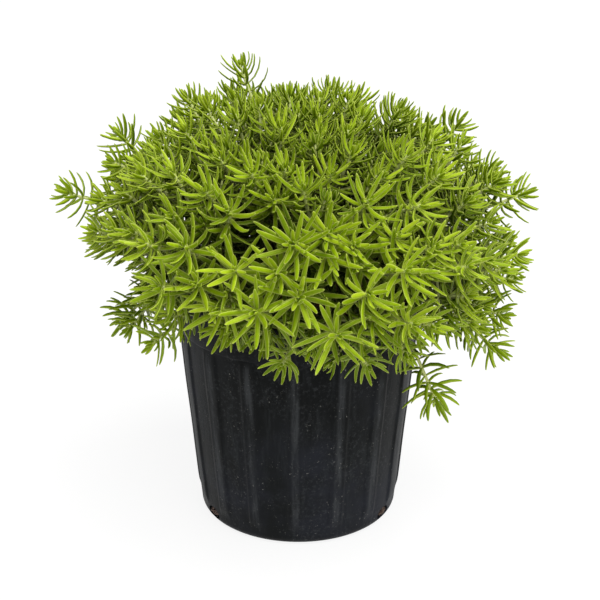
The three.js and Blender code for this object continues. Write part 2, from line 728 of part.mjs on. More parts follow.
// A leafy stem stands in its hole as a straight prism and grows on from there
function leafyStem(stem) {
  const faces = [];
  const bottom = plainRing(STEM_RADIUS, SOIL_TOP - HOLE_DEPTH + GAP, 3);
  const top = plainRing(STEM_RADIUS, SOIL_TOP + STEM_FOOT, 3);
  for (const point of [...bottom, ...top]) point.add(new THREE.Vector3(stem.root.x, stem.root.y, 0));
  faces.push([bottom[2], bottom[1], bottom[0]]);
  for (let i = 0; i < 3; i++) {
    const j = (i + 1) % 3;
    faces.push([bottom[i], bottom[j], top[j]], [bottom[i], top[j], top[i]]);
  }
  growShoot(stem.main, top, faces);
  const geometry = new THREE.BufferGeometry();
  const positions = faces.flat().flatMap((p) => [p.x, p.y, p.z]);
  geometry.setAttribute("position", new THREE.Float32BufferAttribute(positions, 3));
  return geometry;
}

const BLACK_PLASTIC = { color: 0x272829, roughness: 0.55, metalness: 0 };
const POTTING_SOIL = { color: 0x2c1c13, roughness: 1, metalness: 0 };
const LEAF_GREEN = { color: 0x7d9a26, roughness: 0.45, metalness: 0 };

const sedum = new THREE.Group();

function addPiece(name, geometry, look) {
  const mesh = new THREE.Mesh(geometry, new THREE.MeshStandardMaterial(look));
  mesh.name = name;
  sedum.add(mesh);
}

const stems = plantStems();
for (const { main } of stems) [main, ...main.children].forEach(addStemRods);

addPiece("pot", pot(), BLACK_PLASTIC);
addPiece("soil", soil(stems), POTTING_SOIL);
stems.forEach((stem, i) => {
  addPiece(`leafy_stem_${String(i + 1).padStart(2, "0")}`, leafyStem(stem), LEAF_GREEN);
});

export default sedum;
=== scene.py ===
# %% [markdown]
# # A lemon ball sedum in a black nursery pot
#
# This lesson dresses a plain CAD model: a pot, the soil in it, and 56 leafy stems whose needle leaves are
# few and have three sides. The CAD model is loaded as a fixed frame, in metres, with +Z up, the front at -Y
# and the origin at the centre of the pot's flat underside. Each finer piece is made in the place of the CAD
# node that it replaces.

# %% Load the frame
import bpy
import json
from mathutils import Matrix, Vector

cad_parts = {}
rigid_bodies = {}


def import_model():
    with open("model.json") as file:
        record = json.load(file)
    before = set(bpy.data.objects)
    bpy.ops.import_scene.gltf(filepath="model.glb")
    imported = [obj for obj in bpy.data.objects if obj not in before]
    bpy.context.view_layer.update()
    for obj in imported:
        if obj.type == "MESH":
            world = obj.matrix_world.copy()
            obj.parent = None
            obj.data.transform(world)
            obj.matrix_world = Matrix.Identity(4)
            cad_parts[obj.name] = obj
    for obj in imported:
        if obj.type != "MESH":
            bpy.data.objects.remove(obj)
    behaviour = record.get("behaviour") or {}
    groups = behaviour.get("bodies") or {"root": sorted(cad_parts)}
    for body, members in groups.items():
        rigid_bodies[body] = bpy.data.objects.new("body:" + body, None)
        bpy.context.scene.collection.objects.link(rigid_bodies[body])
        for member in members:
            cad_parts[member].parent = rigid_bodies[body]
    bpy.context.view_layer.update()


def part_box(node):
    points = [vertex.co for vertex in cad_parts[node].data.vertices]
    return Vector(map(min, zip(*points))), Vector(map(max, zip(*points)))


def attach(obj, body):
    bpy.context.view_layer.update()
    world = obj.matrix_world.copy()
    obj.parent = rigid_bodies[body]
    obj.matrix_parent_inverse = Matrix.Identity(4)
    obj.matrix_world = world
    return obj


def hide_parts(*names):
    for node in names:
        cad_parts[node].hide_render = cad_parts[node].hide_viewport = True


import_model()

# %% Other modules and units
import json
import math
from types import SimpleNamespace

import bmesh
import bpy
import numpy as np
from mathutils import Vector, noise

MM = 0.001
DEG = math.pi / 180
LEVEL = math.pi / 2
UP = np.array([0.0, 0.0, 1.0])

# %% [markdown]
# ## The layout of the plant
#
# A dome of shoots could be scattered freely, but the finer shoots have to stand where the CAD's shoots
# stand. So the values and steps that lay out the CAD's stems are repeated here, in millimetres. First come
# random numbers that are the same on every run, and unit vectors from two angles: from the front towards
# the right, and from straight up.

# %% Repeatable random numbers and directions
SEED = 2.3
SCATTER = (12.9898, 78.233, 43758.5453)


def draw(a, b):
    """A number from 0 to 1 that looks random and is the same each time for the same two numbers."""
    x = np.sin(a * SCATTER[0] + b * SCATTER[1] + SEED) * SCATTER[2]
    return x - np.floor(x)


def smooth(x, limits):
    """From 0 below the first limit to 1 above the second."""
    t = np.clip((x - limits[0]) / (limits[1] - limits[0]), 0, 1)
    return t * t * (3 - 2 * t)


def direction(azimuth, polar):
    out = np.sin(polar)
    return np.array([out * np.sin(azimuth), -out * np.cos(azimuth), np.cos(polar)])


def unit(vector):
    return vector / np.linalg.norm(vector)


print("a quarter of the way round, level:", direction(90 * DEG, 90 * DEG).round(3))

# %% The pot's sizes, which the stems have to clear
POT_HEIGHT = 165
CORNER_RADIUS = 6.5
FOOT_RADIUS = 67.2
WALL_SLOPE = 0.0946
WALL = 1.6
FLOOR = 3
BAND_START = 137
BAND_STEP = 1.3
SOIL_TOP = 147
HOLE_DEPTH = 12
GAP = 0.35


def wall_radius(height):
    return FOOT_RADIUS + (height - CORNER_RADIUS) * WALL_SLOPE


print("the pot is", round(2 * (wall_radius(POT_HEIGHT) + BAND_STEP)), "mm across at the rim")

# %% The crown's sizes
CROWN_CENTRE = np.array([0.0, 0.0, 165.0])
STEM_COUNT = 56
SHOOT_COUNT = 205
HEM = 98 * DEG
HEM_LIFT_IN_FRONT = 4 * DEG
HEM_DROP_AT_SIDES = 13 * DEG
TOP_REACH = 118
SHOULDER_REACH = 136
HEM_REACH = 112
SIDE_REACH = 12
DENT_DEPTH = 28
DENT_POLAR = 92 * DEG
DENT_EXTENT = (3 * DEG, 15 * DEG)
DENT_SIDE = (0.4, 0.9)
SHOULDER_AT = 60 * DEG
HEM_TURN = (72 * DEG, 98 * DEG)
SIDE_TURN = (40 * DEG, 80 * DEG)
UNEVENNESS = 12
ROOTED_RADIUS = 68
ROOT_SPREAD = 0.75

# %% How the shoots point, and the ones that have places of their own
SHOOT_LOOSENESS = 7 * DEG
STEM_LOOSENESS = 4 * DEG
UPRIGHT_SHARE = 0.93
DROOP = 34 * DEG
DROOP_TURN = (80 * DEG, 112 * DEG)
STEEPEST_DROOP = 128 * DEG
TURN_UP = 16 * DEG
TURN_ASIDE = 18 * DEG
SHOOT_STREAM, REACH_STREAM, TURN_UP_STREAM, TURN_ASIDE_STREAM, STEM_STREAM, FORK_STREAM = 1, 3, 5, 6, 11, 21

# Azimuth and angle from straight up in degrees, and reach in millimetres
MARKED_SHOOTS = [
    (-145, 27, 147), (-125, 36, 133), (180, 22, 122), (152, 25, 128), (123, 38, 128), (110, 50, 149),
    (101, 63, 150), (98, 71, 162), (90, 90, 145), (86, 110, 143), (-97, 71, 166), (-108, 55, 154),
    (-94, 80, 138), (-88, 107, 120), (0, 73, 140), (18, 73, 140), (10, 83, 136), (36, 70, 138),
    (30, 60, 136), (31, 83, 135), (-17, 67, 137), (-28, 72, 136), (-14, 77, 130), (-24, 85, 114),
    (-6, 84, 112), (20, 95, 124), (-5, 95, 118), (9, 57, 136), (-59, 81, 112), (-72, 86, 102),
    (-22, 78, 128), (-12, 88, 105), (-50, 96, 121), (86, 100, 140), (-115, 35, 141),
]
# The root, the two points that pull the curve, and the tip: azimuth, distance from the pot's middle, height
HANGING_CURVE = [(45, ROOTED_RADIUS, SOIL_TOP), (45, 68, 197), (38, 98, 178), (57, 107, 101)]
print(len(MARKED_SHOOTS), "shoots have places of their own")


# %% Directions spread over the dome
def hem_angle(azimuth):
    return HEM - HEM_LIFT_IN_FRONT * np.cos(azimuth) + HEM_DROP_AT_SIDES * np.sin(azimuth) ** 2


def reach_of(azimuth, polar):
    side = np.sin(azimuth) ** 2 * smooth(polar, SIDE_TURN)
    dome = TOP_REACH + (SHOULDER_REACH - TOP_REACH) * smooth(polar, (0, SHOULDER_AT))
    in_dent = (1 - smooth(abs(polar - DENT_POLAR), DENT_EXTENT)) * smooth(-np.sin(azimuth), DENT_SIDE)
    dome += (HEM_REACH - SHOULDER_REACH) * smooth(polar, HEM_TURN)
    return dome + SIDE_REACH * side - DENT_DEPTH * in_dent


def spread_directions(count, looseness, stream):
    golden = math.pi * (3 - math.sqrt(5))
    found = []
    for i in range(count):
        even = math.acos(1 - (i + 0.5) / count * (1 - math.cos(hem_angle(i * golden))))
        polar = abs(even + (draw(i, stream) - 0.5) * looseness)
        azimuth = i * golden + (draw(i, stream + 1) - 0.5) * looseness
        found.append(SimpleNamespace(number=i, azimuth=azimuth, polar=polar, way=direction(azimuth, polar)))
    return found


def nearest(items, way):
    return items[int(np.argmax([item.way @ way for item in items]))]


# %% Where every shoot ends and which way it points
def all_shoots():
    shoots = spread_directions(SHOOT_COUNT, SHOOT_LOOSENESS, SHOOT_STREAM)
    for shoot in shoots:
        shoot.reach = reach_of(shoot.azimuth, shoot.polar)
        shoot.reach += (draw(shoot.number, REACH_STREAM) - 0.5) * UNEVENNESS
    free = list(shoots)
    for azimuth, polar, reach in MARKED_SHOOTS:
        way = direction(azimuth * DEG, polar * DEG)
        shoot = nearest(free, way)
        free.remove(shoot)
        shoot.azimuth, shoot.polar, shoot.reach, shoot.way = azimuth * DEG, polar * DEG, reach, way
    for shoot in shoots:
        droop = DROOP * smooth(shoot.polar, DROOP_TURN)
        up = (draw(shoot.number, TURN_UP_STREAM) - 0.5) * TURN_UP
        aside = (draw(shoot.number, TURN_ASIDE_STREAM) - 0.5) * TURN_ASIDE
        lean = min(shoot.polar * UPRIGHT_SHARE + droop + up, STEEPEST_DROOP)
        shoot.axis = direction(shoot.azimuth + aside, lean)
        shoot.tip = CROWN_CENTRE + shoot.way * shoot.reach
        shoot.children = []
        shoot.fork_at = 0
    return shoots


# %% [markdown]
# ### The paths of the stems
#
# Each stem rises from the soil to a tip on the dome, and its side shoots leave it part of the way up. A
# path is a cubic curve, walked in 48 even steps. Where it would meet another stem or the pot's rim, the
# next rise, fork or bow aside is tried.

# %% Even steps along a curve
PATH_STEPS = 48
CURVE_STEPS = 200


def even_path(start, pull_start, pull_end, end):
    def on_curve(t):
        t = t[:, None]
        near = start * (1 - t) ** 3 + pull_start * 3 * t * (1 - t) ** 2
        return near + pull_end * 3 * t * t * (1 - t) + end * t ** 3

    fine = np.linspace(0, 1, CURVE_STEPS + 1)
    steps = np.linalg.norm(np.diff(on_curve(fine), axis=0), axis=1)
    lengths = np.concatenate([[0], np.cumsum(steps)])
    return on_curve(np.interp(np.linspace(0, lengths[-1], PATH_STEPS + 1), lengths, fine))


def step_of(path):
    return np.linalg.norm(path[1] - path[0])


def place_at(path, distance):
    at = max(0, distance / step_of(path))
    low = min(len(path) - 2, int(at))
    return path[low] + (path[low + 1] - path[low]) * (at - low)


# %% What a path has to clear
STEM_RADIUS = 1.6
STEM_SPACING = 4.3
RIM_INSIDE, RIM_OUTSIDE, RIM_ABOVE = 6, 3, 2


def clears_rim(path):
    rim = wall_radius(POT_HEIGHT) + BAND_STEP
    r = np.hypot(path[:, 0], path[:, 1])
    above = path[:, 2] > POT_HEIGHT + STEM_RADIUS + RIM_ABOVE
    return bool(np.all(above | (r < rim - WALL - RIM_INSIDE) | (r > rim + RIM_OUTSIDE)))


def clears_stems(path, others):
    if not others:
        return True
    taken = np.concatenate(others)
    apart = (path ** 2).sum(1)[:, None] + (taken ** 2).sum(1)[None] - 2 * path @ taken.T
    return bool(apart.min() > STEM_SPACING ** 2)


# %% Main shoots and side shoots
WHORL_SPACING = 5.5
CAD_WHORLS = 4
FORK_BAND = 3.4
FORK_ANGLE = 45 * DEG
SHARPEST_FORK = 36 * DEG
OPENING_AT, FORK_OPENING = 16, 9
FORK_START = 6
LOWEST_FORK = 10.8
SHORTEST_SIDE_SHOOT = 40
LONGEST_BAND = 26
BESIDE_MAIN_STEPS = 10
MAIN_RISES = 12
MAIN_PULL_UP, MAIN_PULL_UP_STEP = 0.28, 0.08
MAIN_PULL_BACK, MAIN_PULL_BACK_STEP = 0.36, 0.04
MAIN_BOWS = (0, 0.12, -0.12, 0.24, -0.24, 0.36, -0.36)
SIDE_FORKS = 10
HIGHEST_FORK, FORK_STEP_DOWN = 0.74, 0.055
FORK_LOOSENESS = 0.04
SIDE_PULL_OUT, SIDE_PULL_BACK = 0.3, 0.4
SIDE_BOWS = (0, 0.15, -0.15, 0.3, -0.3)


def main_path(root, shoot, others):
    span = np.linalg.norm(shoot.tip - root)
    aside = unit(np.cross(shoot.way, UP))
    for bow in MAIN_BOWS:
        for rise in range(MAIN_RISES):
            pull_up = MAIN_PULL_UP + MAIN_PULL_UP_STEP * rise
            pull_back = MAIN_PULL_BACK + MAIN_PULL_BACK_STEP * rise
            pull_end = shoot.tip - shoot.axis * pull_back * span + aside * bow * span
            path = even_path(root, root + UP * pull_up * span, pull_end, shoot.tip)
            if clears_rim(path) and clears_stems(path, others):
                return path
    return None


def side_curve(main, at, shoot, bow):
    start = main.path[at]
    along = unit(main.path[at + 1] - main.path[at - 1])
    span = np.linalg.norm(shoot.tip - start)
    outward = shoot.tip - start
    outward = unit(outward - along * (outward @ along))
    first = along * math.cos(FORK_ANGLE) + outward * math.sin(FORK_ANGLE)
    pull_start = start + first * SIDE_PULL_OUT * span + np.cross(along, outward) * bow * span
    return even_path(start, pull_start, shoot.tip - shoot.axis * SIDE_PULL_BACK * span, shoot.tip)


# %% A side shoot forks off at the first place where it is clear
def fork_opens(main, path, fork_at):
    """Whether a side shoot leaves its main shoot widely enough."""
    opening = place_at(path, OPENING_AT) - place_at(main.path, fork_at + OPENING_AT)
    side_chord = unit(place_at(path, FORK_START) - path[0])
    main_chord = unit(place_at(main.path, fork_at + LONGEST_BAND) - path[0])
    return np.linalg.norm(opening) > FORK_OPENING and side_chord @ main_chord < math.cos(SHARPEST_FORK)


def side_path(main, shoot, others):
    step = step_of(main.path)
    highest = PATH_STEPS - (CAD_WHORLS * WHORL_SPACING + 2 * FORK_BAND) / step
    loose = FORK_LOOSENESS * draw(shoot.number, FORK_STREAM)
    for bow in SIDE_BOWS:
        for fork in range(SIDE_FORKS):
            share = HIGHEST_FORK - FORK_STEP_DOWN * fork - loose
            at = math.floor(min(share * PATH_STEPS, highest) + 0.5)
            fork_at = at * step
            if fork_at < LOWEST_FORK:
                continue
            if any(abs(child.fork_at - fork_at) < 2 * FORK_BAND for child in main.children):
                continue
            path = side_curve(main, at, shoot, bow)
            outer = path[BESIDE_MAIN_STEPS:]
            fits = fork_opens(main, path, fork_at) and step_of(path) * PATH_STEPS > SHORTEST_SIDE_SHOOT
            if fits and clears_rim(path) and clears_stems(outer, others):
                return path, outer, fork_at
    return None


# %% The stem that arches over the rim and hangs beside the pot
def hanging_stem():
    points = []
    for azimuth, out, height in HANGING_CURVE:
        points.append(direction(azimuth * DEG, LEVEL) * (out, out, 0) + UP * height)
    away = points[-1] - CROWN_CENTRE
    azimuth, polar = math.atan2(away[0], -away[1]), math.acos(away[2] / np.linalg.norm(away))
    shoot = SimpleNamespace(number=SHOOT_COUNT, azimuth=azimuth, polar=polar, children=[], fork_at=0)
    shoot.path = even_path(*points)
    return SimpleNamespace(root=points[0], main=shoot)


# %% All the stems, each with its shoots
def plant_stems():
    stems = spread_directions(STEM_COUNT, STEM_LOOSENESS, STEM_STREAM)
    for stem in stems:
        out = ROOTED_RADIUS * min(1, stem.polar / HEM) ** ROOT_SPREAD
        stem.root = direction(stem.azimuth, LEVEL) * out * (1, 1, 0) + UP * SOIL_TOP
        stem.shoots, stem.main = [], None
    for shoot in all_shoots():
        nearest(stems, shoot.way).shoots.append(shoot)
    hanging = hanging_stem()
    paths = [hanging.main.path]
    for stem in stems:
        stem.shoots.sort(key=lambda shoot: -(shoot.way @ stem.way))
        for shoot in stem.shoots:
            shoot.path = main_path(stem.root, shoot, paths)
            if shoot.path is not None:
                stem.main = shoot
                paths.append(shoot.path)
                break
    standing = [stem for stem in stems if stem.main]
    for stem in standing:
        for shoot in stem.shoots:
            found = None if shoot is stem.main else side_path(stem.main, shoot, paths)
            if found:
                shoot.path, outer, shoot.fork_at = found
                stem.main.children.append(shoot)
                paths.append(outer)
    return [*standing, hanging]


stems = plant_stems()
print(len(stems), "stems with", sum(1 + len(stem.main.children) for stem in stems), "shoots")

# %% Compare the paths with the CAD's stems
farthest_outside = 0
for number, stem in enumerate(stems, 1):
    low, high = (np.array(corner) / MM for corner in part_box(f"leafy_stem_{number:02d}"))
    points = np.concatenate([shoot.path for shoot in [stem.main, *stem.main.children]])
    outside = max((low - points).max(), (points - high).max())
    farthest_outside = max(farthest_outside, outside)
print("the paths leave the CAD's own stems by", round(farthest_outside, 3), "mm at most")

# %% [markdown]
# ## Writing shaders as sums
#
# A material could be wired by hand in the node editor. In a script it is easier to read as arithmetic, so a
# small class wraps a node's output, and each operator adds the Math node that does the sum. Every other
# kind of node comes from one method, which takes the node's type, its settings and what goes into its
# sockets.


# %% A link with operators, and a finish that makes nodes
class Link:
    """The output of a node. Sums on it add Math nodes."""

    def __init__(self, finish, socket):
        self.finish = finish
        self.socket = socket

    def maths(self, operation, *values):
        return self.finish.node("ShaderNodeMath", {"operation": operation}, dict(enumerate(values)))

    def __add__(self, other):
        return self.maths("ADD", self, other)

    def __sub__(self, other):
        return self.maths("SUBTRACT", self, other)

    def __rsub__(self, other):
        return self.maths("SUBTRACT", other, self)

    def __mul__(self, other):
        return self.maths("MULTIPLY", self, other)

    __radd__ = __add__
    __rmul__ = __mul__


class Finish:
    """A material. Values that are the same all over are set on the shader's own sockets."""

    def __init__(self, name, **constants):
        self.material = bpy.data.materials.new(name)
        self.material.use_nodes = True
        self.tree = self.material.node_tree
        self.shader = self.tree.nodes["Principled BSDF"]
        for socket, value in constants.items():
            self.shader.inputs[socket.replace("_", " ")].default_value = value

    def node(self, kind, settings, sockets, output=0):
        made = self.tree.nodes.new(kind)
        for setting, value in settings.items():
            if setting == "stops":
                ramp = made.color_ramp
                while len(ramp.elements) < len(value):
                    ramp.elements.new(1)
                for element, (place, colour) in zip(ramp.elements, value):
                    element.position, element.color = place, colour
            else:
                setattr(made, setting, value)
        for socket, value in sockets.items():
            if isinstance(value, Link):
                self.tree.links.new(value.socket, made.inputs[socket])
            else:
                made.inputs[socket].default_value = value
        return Link(self, made.outputs[output])

    def feed(self, socket, link):
        self.tree.links.new(link.socket, self.shader.inputs[socket])


# %% [markdown]
# A few patterns come back in every finish: the place on the object, noise, a soft step and a mix of two
# colours, and at the end the finish gets its colour, roughness and bump. They are short functions on top of
# the one method, and colours are written as they look on a screen.

# %% Patterns that every finish uses
# The Mix node has sockets of the same name for numbers, vectors and colours, so the colour ones go by number
MIX_SHARE, MIX_FIRST, MIX_SECOND, MIX_RESULT = 0, 6, 7, 2


def screen(red, green, blue):
    """A colour as seen on a screen, 0 to 255, in the linear values that shaders use."""
    shares = np.array([red, green, blue]) / 255
    linear = np.where(shares <= 0.04045, shares / 12.92, ((shares + 0.055) / 1.055) ** 2.4)
    return (*linear.tolist(), 1)


def place_of(finish):
    return finish.node("ShaderNodeTexCoord", {}, {}, "Object")


def noise_of(finish, scale, detail=3.0, roughness=0.55, vector=None):
    sockets = {"Vector": vector or place_of(finish), "Scale": scale, "Detail": detail, "Roughness": roughness}
    return finish.node("ShaderNodeTexNoise", {}, sockets)


def step_of_value(finish, value, low, high):
    """From 0 at low to 1 at high, with soft ends."""
    sockets = {"Value": value, "From Min": low, "From Max": high}
    return finish.node("ShaderNodeMapRange", {"interpolation_type": "SMOOTHSTEP"}, sockets)


def mix(finish, share, first, second):
    sockets = {MIX_SHARE: share, MIX_FIRST: first, MIX_SECOND: second}
    return finish.node("ShaderNodeMix", {"data_type": "RGBA"}, sockets, MIX_RESULT)


def ramp(finish, value, *stops):
    return finish.node("ShaderNodeValToRGB", {"stops": stops}, {"Fac": value})


def dress(finish, colour, roughness, height, distance):
    """Gives a finish its colour, its roughness and a bump, whose distance is in metres."""
    finish.feed("Base Color", colour)
    finish.feed("Roughness", roughness)
    finish.feed("Normal", finish.node("ShaderNodeBump", {}, {"Height": height, "Distance": distance}))


def on_mesh(finish, name):
    """A value that the mesh carries at each of its points."""
    return finish.node("ShaderNodeAttribute", {"attribute_name": name}, {}, "Fac")


# %% [markdown]
# ## Making a piece
#
# Points and faces go straight into a mesh. Numbers that a finish needs later, such as how far along its
# leaf a point lies, travel with the mesh as attributes. Each piece rides on the root body, and the CAD
# nodes that it replaces are hidden.

# %% From points to a piece of the model
triangle_count = 0


def put_in_scene(name, data):
    obj = bpy.data.objects.new(name, data)
    bpy.context.scene.collection.objects.link(obj)
    return obj


def make_piece(name, points, faces, finishes, nodes=(), values=None, face_finishes=None, sharp=None):
    """A piece from points in millimetres. Edges that bend by more than sharp degrees stay crisp."""
    global triangle_count
    mesh = bpy.data.meshes.new(name)
    mesh.from_pydata((np.asarray(points) * MM).tolist(), [], faces)
    for finish in finishes:
        mesh.materials.append(finish.material)
    if face_finishes is not None:
        mesh.polygons.foreach_set("material_index", np.asarray(face_finishes, np.int32))
    for attribute, numbers in (values or {}).items():
        made = mesh.attributes.new(attribute, "FLOAT", "POINT")
        made.data.foreach_set("value", np.asarray(numbers, np.float32))
    mesh.shade_smooth()
    if sharp is not None:
        mesh.set_sharp_from_angle(angle=sharp * DEG)
    obj = put_in_scene(name, mesh)
    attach(obj, "root")
    if nodes:
        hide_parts(*nodes)
    triangle_count += sum(len(face) - 2 for face in faces)
    return obj


def ring_faces(rows, columns):
    """Quads between rings of points that close on themselves."""
    faces = []
    for row in range(rows - 1):
        for column in range(columns):
            a = row * columns + column
            b = row * columns + (column + 1) % columns
            faces.append((a, b, b + columns, a + columns))
    return faces


def closed_faces(rows, columns):
    """The faces of a closed body: quads between its rings, and a flat face at each end."""
    last_ring = (rows - 1) * columns
    ends = [tuple(reversed(range(columns))), tuple(range(last_ring, last_ring + columns))]
    return ring_faces(rows, columns) + ends


# %% [markdown]
# ## The pot
#
# The real pot is blow moulded from black polyethylene: 16 upright ribs about 8 mm wide on top, a plain band
# under the rim, a round corner and a flat underside with a shallow hollow. A cylinder with a bump map would
# look flat at its outline, so the ribs are real: the outline of the wall is swept round, and each point is
# pushed out by a rib's profile. Moulded walls are never quite even, so a slow noise moves them by a
# fraction of a millimetre.

# %% The outline of the pot, from the middle of the underside, up the outside and down the inside
HOLLOW = 1.4
CORNER_STEPS = 9
foot = FOOT_RADIUS - CORNER_RADIUS

# Radius and height across the underside
UNDERSIDE = [(6, HOLLOW), (30, HOLLOW), (46, HOLLOW), (48.5, 0.9 * HOLLOW), (50, 0.4 * HOLLOW),
             (51, 0), (56, 0)]
OUTSIDE_HEIGHTS = [9, 12, 13, 14, 15, 16, *range(20, 133, 6), 133, 134, 135, 136, 136.8]
# Height, and how far the band and the rim stand out of the wall's line there
BAND_AND_RIM = [
    (137.1, 0.25), (137.5, 0.7), (137.9, 1.1), (138.5, BAND_STEP), (144, BAND_STEP), (150, BAND_STEP),
    (156, BAND_STEP), (161, BAND_STEP), (162.6, 1.25), (163.7, 1.0), (164.6, 0.55), (165, -0.1), (165, -0.8),
]
INSIDE_HEIGHTS = [164.6, 163, 158, 150, 140, 110, 70, 30, 12, 6]
INSIDE_FLOOR = [(foot, FLOOR + 0.4), (40, FLOOR), (6, FLOOR)]

outline = list(UNDERSIDE)
for turn in np.linspace(0, 90, CORNER_STEPS) * DEG:
    outline.append((foot + CORNER_RADIUS * math.sin(turn), CORNER_RADIUS * (1 - math.cos(turn))))
outline += [(wall_radius(height), height) for height in OUTSIDE_HEIGHTS]
outline += [(wall_radius(height) + out, height) for height, out in BAND_AND_RIM]
outline += [(wall_radius(height) - WALL, height) for height in INSIDE_HEIGHTS]
outline += INSIDE_FLOOR
print("the pot's outline has", len(outline), "points")

# %% Sweep it round, with the ribs
RIB_COUNT = 16
RIB_TURN = -1.5 * DEG
RIB_HALF_WIDTH = 3.2 * DEG
RIB_RAMP = 2 * DEG
RIB_HEIGHT = 1.2
RIB_START = 9
RIB_FADE = 9
# Where the points lie beside a rib's middle, in degrees: close together on its flanks
RIB_COLUMNS = [-9.6, -7.8, -6.2, -5.2, -4.7, -4.3, -3.9, -3.5, -3.1, -1.6, 0,
               1.6, 3.1, 3.5, 3.9, 4.3, 4.7, 5.2, 6.2, 7.8, 9.6, 11.25]
outside_rows = outline.index(max(outline, key=lambda point: point[1]))
turns, rib_shares = [], []
for rib in range(RIB_COUNT):
    for offset in RIB_COLUMNS:
        turns.append(rib / RIB_COUNT * 2 * math.pi + RIB_TURN + offset * DEG)
        beside = abs(offset) * DEG - RIB_HALF_WIDTH
        rib_shares.append(float(1 - smooth(beside, (0, RIB_RAMP))))


def rib_height(height):
    rises = smooth(height, (RIB_START, RIB_START + RIB_FADE))
    ends = smooth(height, (BAND_START - RIB_FADE, BAND_START))
    return RIB_HEIGHT * rises * (1 - ends)


# %% A slow wave in the wall
WAVE_SIZE = 0.28
WAVES_ROUND = 2.2
WAVE_RISE = 38
WAVE_START = (2, 30)


def wall_wave(turn, height):
    """How far the moulded wall strays from its true line."""
    place = Vector((WAVES_ROUND * math.sin(turn), WAVES_ROUND * math.cos(turn), height / WAVE_RISE))
    return WAVE_SIZE * noise.noise(place) * float(smooth(height, WAVE_START))


pot_points = []
for row, (radius, height) in enumerate(outline):
    for turn, share in zip(turns, rib_shares):
        out = radius
        if row <= outside_rows and height > CORNER_RADIUS:
            out += share * rib_height(height) + wall_wave(turn, height)
        pot_points.append(direction(turn, LEVEL) * out + UP * height)
pot_faces = closed_faces(len(outline), len(turns))
print("the pot has", len(pot_points), "points")

# %% [markdown]
# ### Its material
#
# Black polyethylene is dark grey with a soft gloss. This pot has been handled: long scuffs run up and down,
# the ribs' crests are paler in streaks, partly rubbed and partly a painted highlight, dust dulls it in
# patches, and a few pale specks sit on it. Painted shade makes the pot lighter towards its foot and darker
# higher up, under the foliage. The crests are found from the angle round the pot. The scuffs and streaks
# are noises that are stretched upwards, and the dust and the specks are the peaks of fine noises, kept to
# some places by coarser ones.

# %% Black plastic
WALL_FOOT_FADE = (0.008, 0.026)
BAND_FADE = (0.137, 0.131)
CREST_FADE = (0.85, 0.25)
black_plastic = Finish("scuffed_black_plastic", IOR=1.5, Specular_IOR_Level=0.07)
spot = place_of(black_plastic)
x, y, z = (black_plastic.node("ShaderNodeSeparateXYZ", {}, {"Vector": spot}, axis)
           for axis in ("X", "Y", "Z"))
ribs_a_radian = RIB_COUNT / (2 * math.pi)
around = x.maths("ARCTAN2", x, 0 - y) * ribs_a_radian + (0.5 - RIB_TURN * ribs_a_radian)
from_rib = around - around.maths("FLOOR", around) - 0.5
from_rib = from_rib.maths("ABSOLUTE", from_rib)
on_wall = step_of_value(black_plastic, z, *WALL_FOOT_FADE) * step_of_value(black_plastic, z, *BAND_FADE)
crest_edge, crest_middle = (RIB_HALF_WIDTH * share * ribs_a_radian for share in CREST_FADE)
crest = step_of_value(black_plastic, from_rib, crest_edge, crest_middle)
# Painted highlight and wear: the rib crests on the wall are drawn paler, partly rubbed, partly a painted
# highlight
crest_wear_and_highlight = crest * on_wall

# %% Scuffs, dust and the plastic's fine skin
stretched = black_plastic.node("ShaderNodeMapping", {}, {"Vector": spot, "Scale": (1, 1, 0.12)})
long_marks = noise_of(black_plastic, scale=170, detail=6, roughness=0.7, vector=stretched)
scuffs = step_of_value(black_plastic, long_marks, 0.5, 0.74)
fine_marks = noise_of(black_plastic, scale=240, detail=5, roughness=0.7, vector=stretched)
streaks = step_of_value(black_plastic, fine_marks, 0.36, 0.66)
patches = noise_of(black_plastic, scale=22, detail=3, roughness=0.6)
specks = step_of_value(black_plastic, noise_of(black_plastic, scale=620, detail=4, roughness=0.7), 0.62, 0.72)
specks = specks * (step_of_value(black_plastic, noise_of(black_plastic, scale=60), 0.42, 0.62) + crest * 0.6)
dust = step_of_value(black_plastic, noise_of(black_plastic, scale=430, detail=5, roughness=0.75), 0.5, 0.66)
dust = dust * step_of_value(black_plastic, noise_of(black_plastic, scale=34), 0.4, 0.62)
skin = noise_of(black_plastic, scale=1400, detail=2)
# Painted shade: the pot is drawn lighter towards its foot and darker higher up, where the foliage shades it
low = step_of_value(black_plastic, z, 0.13, 0.01)

# %% Its colour, gloss and bump
ground = ramp(black_plastic, patches + low * 0.14, (0.36, screen(8, 10, 10)), (0.54, screen(17, 19, 20)),
              (0.76, screen(29, 31, 37)))
ground = mix(black_plastic, scuffs * 0.35, ground, screen(52, 55, 57))
ground = mix(black_plastic, dust * 0.42, ground, screen(62, 64, 66))
ground = mix(black_plastic, crest_wear_and_highlight * (0.1 + streaks * 0.55), ground, screen(63, 65, 67))
ground = mix(black_plastic, specks * 0.7, ground, screen(150, 149, 143))
dress(black_plastic, ground, roughness=0.4 + patches * 0.16 + scuffs * 0.16,
      height=skin * 0.25 + scuffs * 0.5 + patches * 0.8, distance=0.0003)
print("black plastic has", len(black_plastic.tree.nodes), "nodes")

# %% [markdown]
# ### Its drain holes
#
# Three drain holes are cut through the round corner, which is quicker and truer with a boolean than by
# bending the mesh. The cutter is a stretched cylinder that slants down and out.

# %% Make the pot and cut its drain holes
DRAIN_AZIMUTHS = (-59 * DEG, 59 * DEG, 180 * DEG)
DRAIN_HEIGHT = 6.2
DRAIN_HALF_WIDTH, DRAIN_HALF_HEIGHT = 7, 4.4
DRAIN_LENGTH = 24
DRAIN_DROP = 32 * DEG
DRAIN_SIDES = 40
POT_CREASE = 38 * DEG

pot = make_piece("nursery_pot", pot_points, pot_faces, [black_plastic], ["pot"])


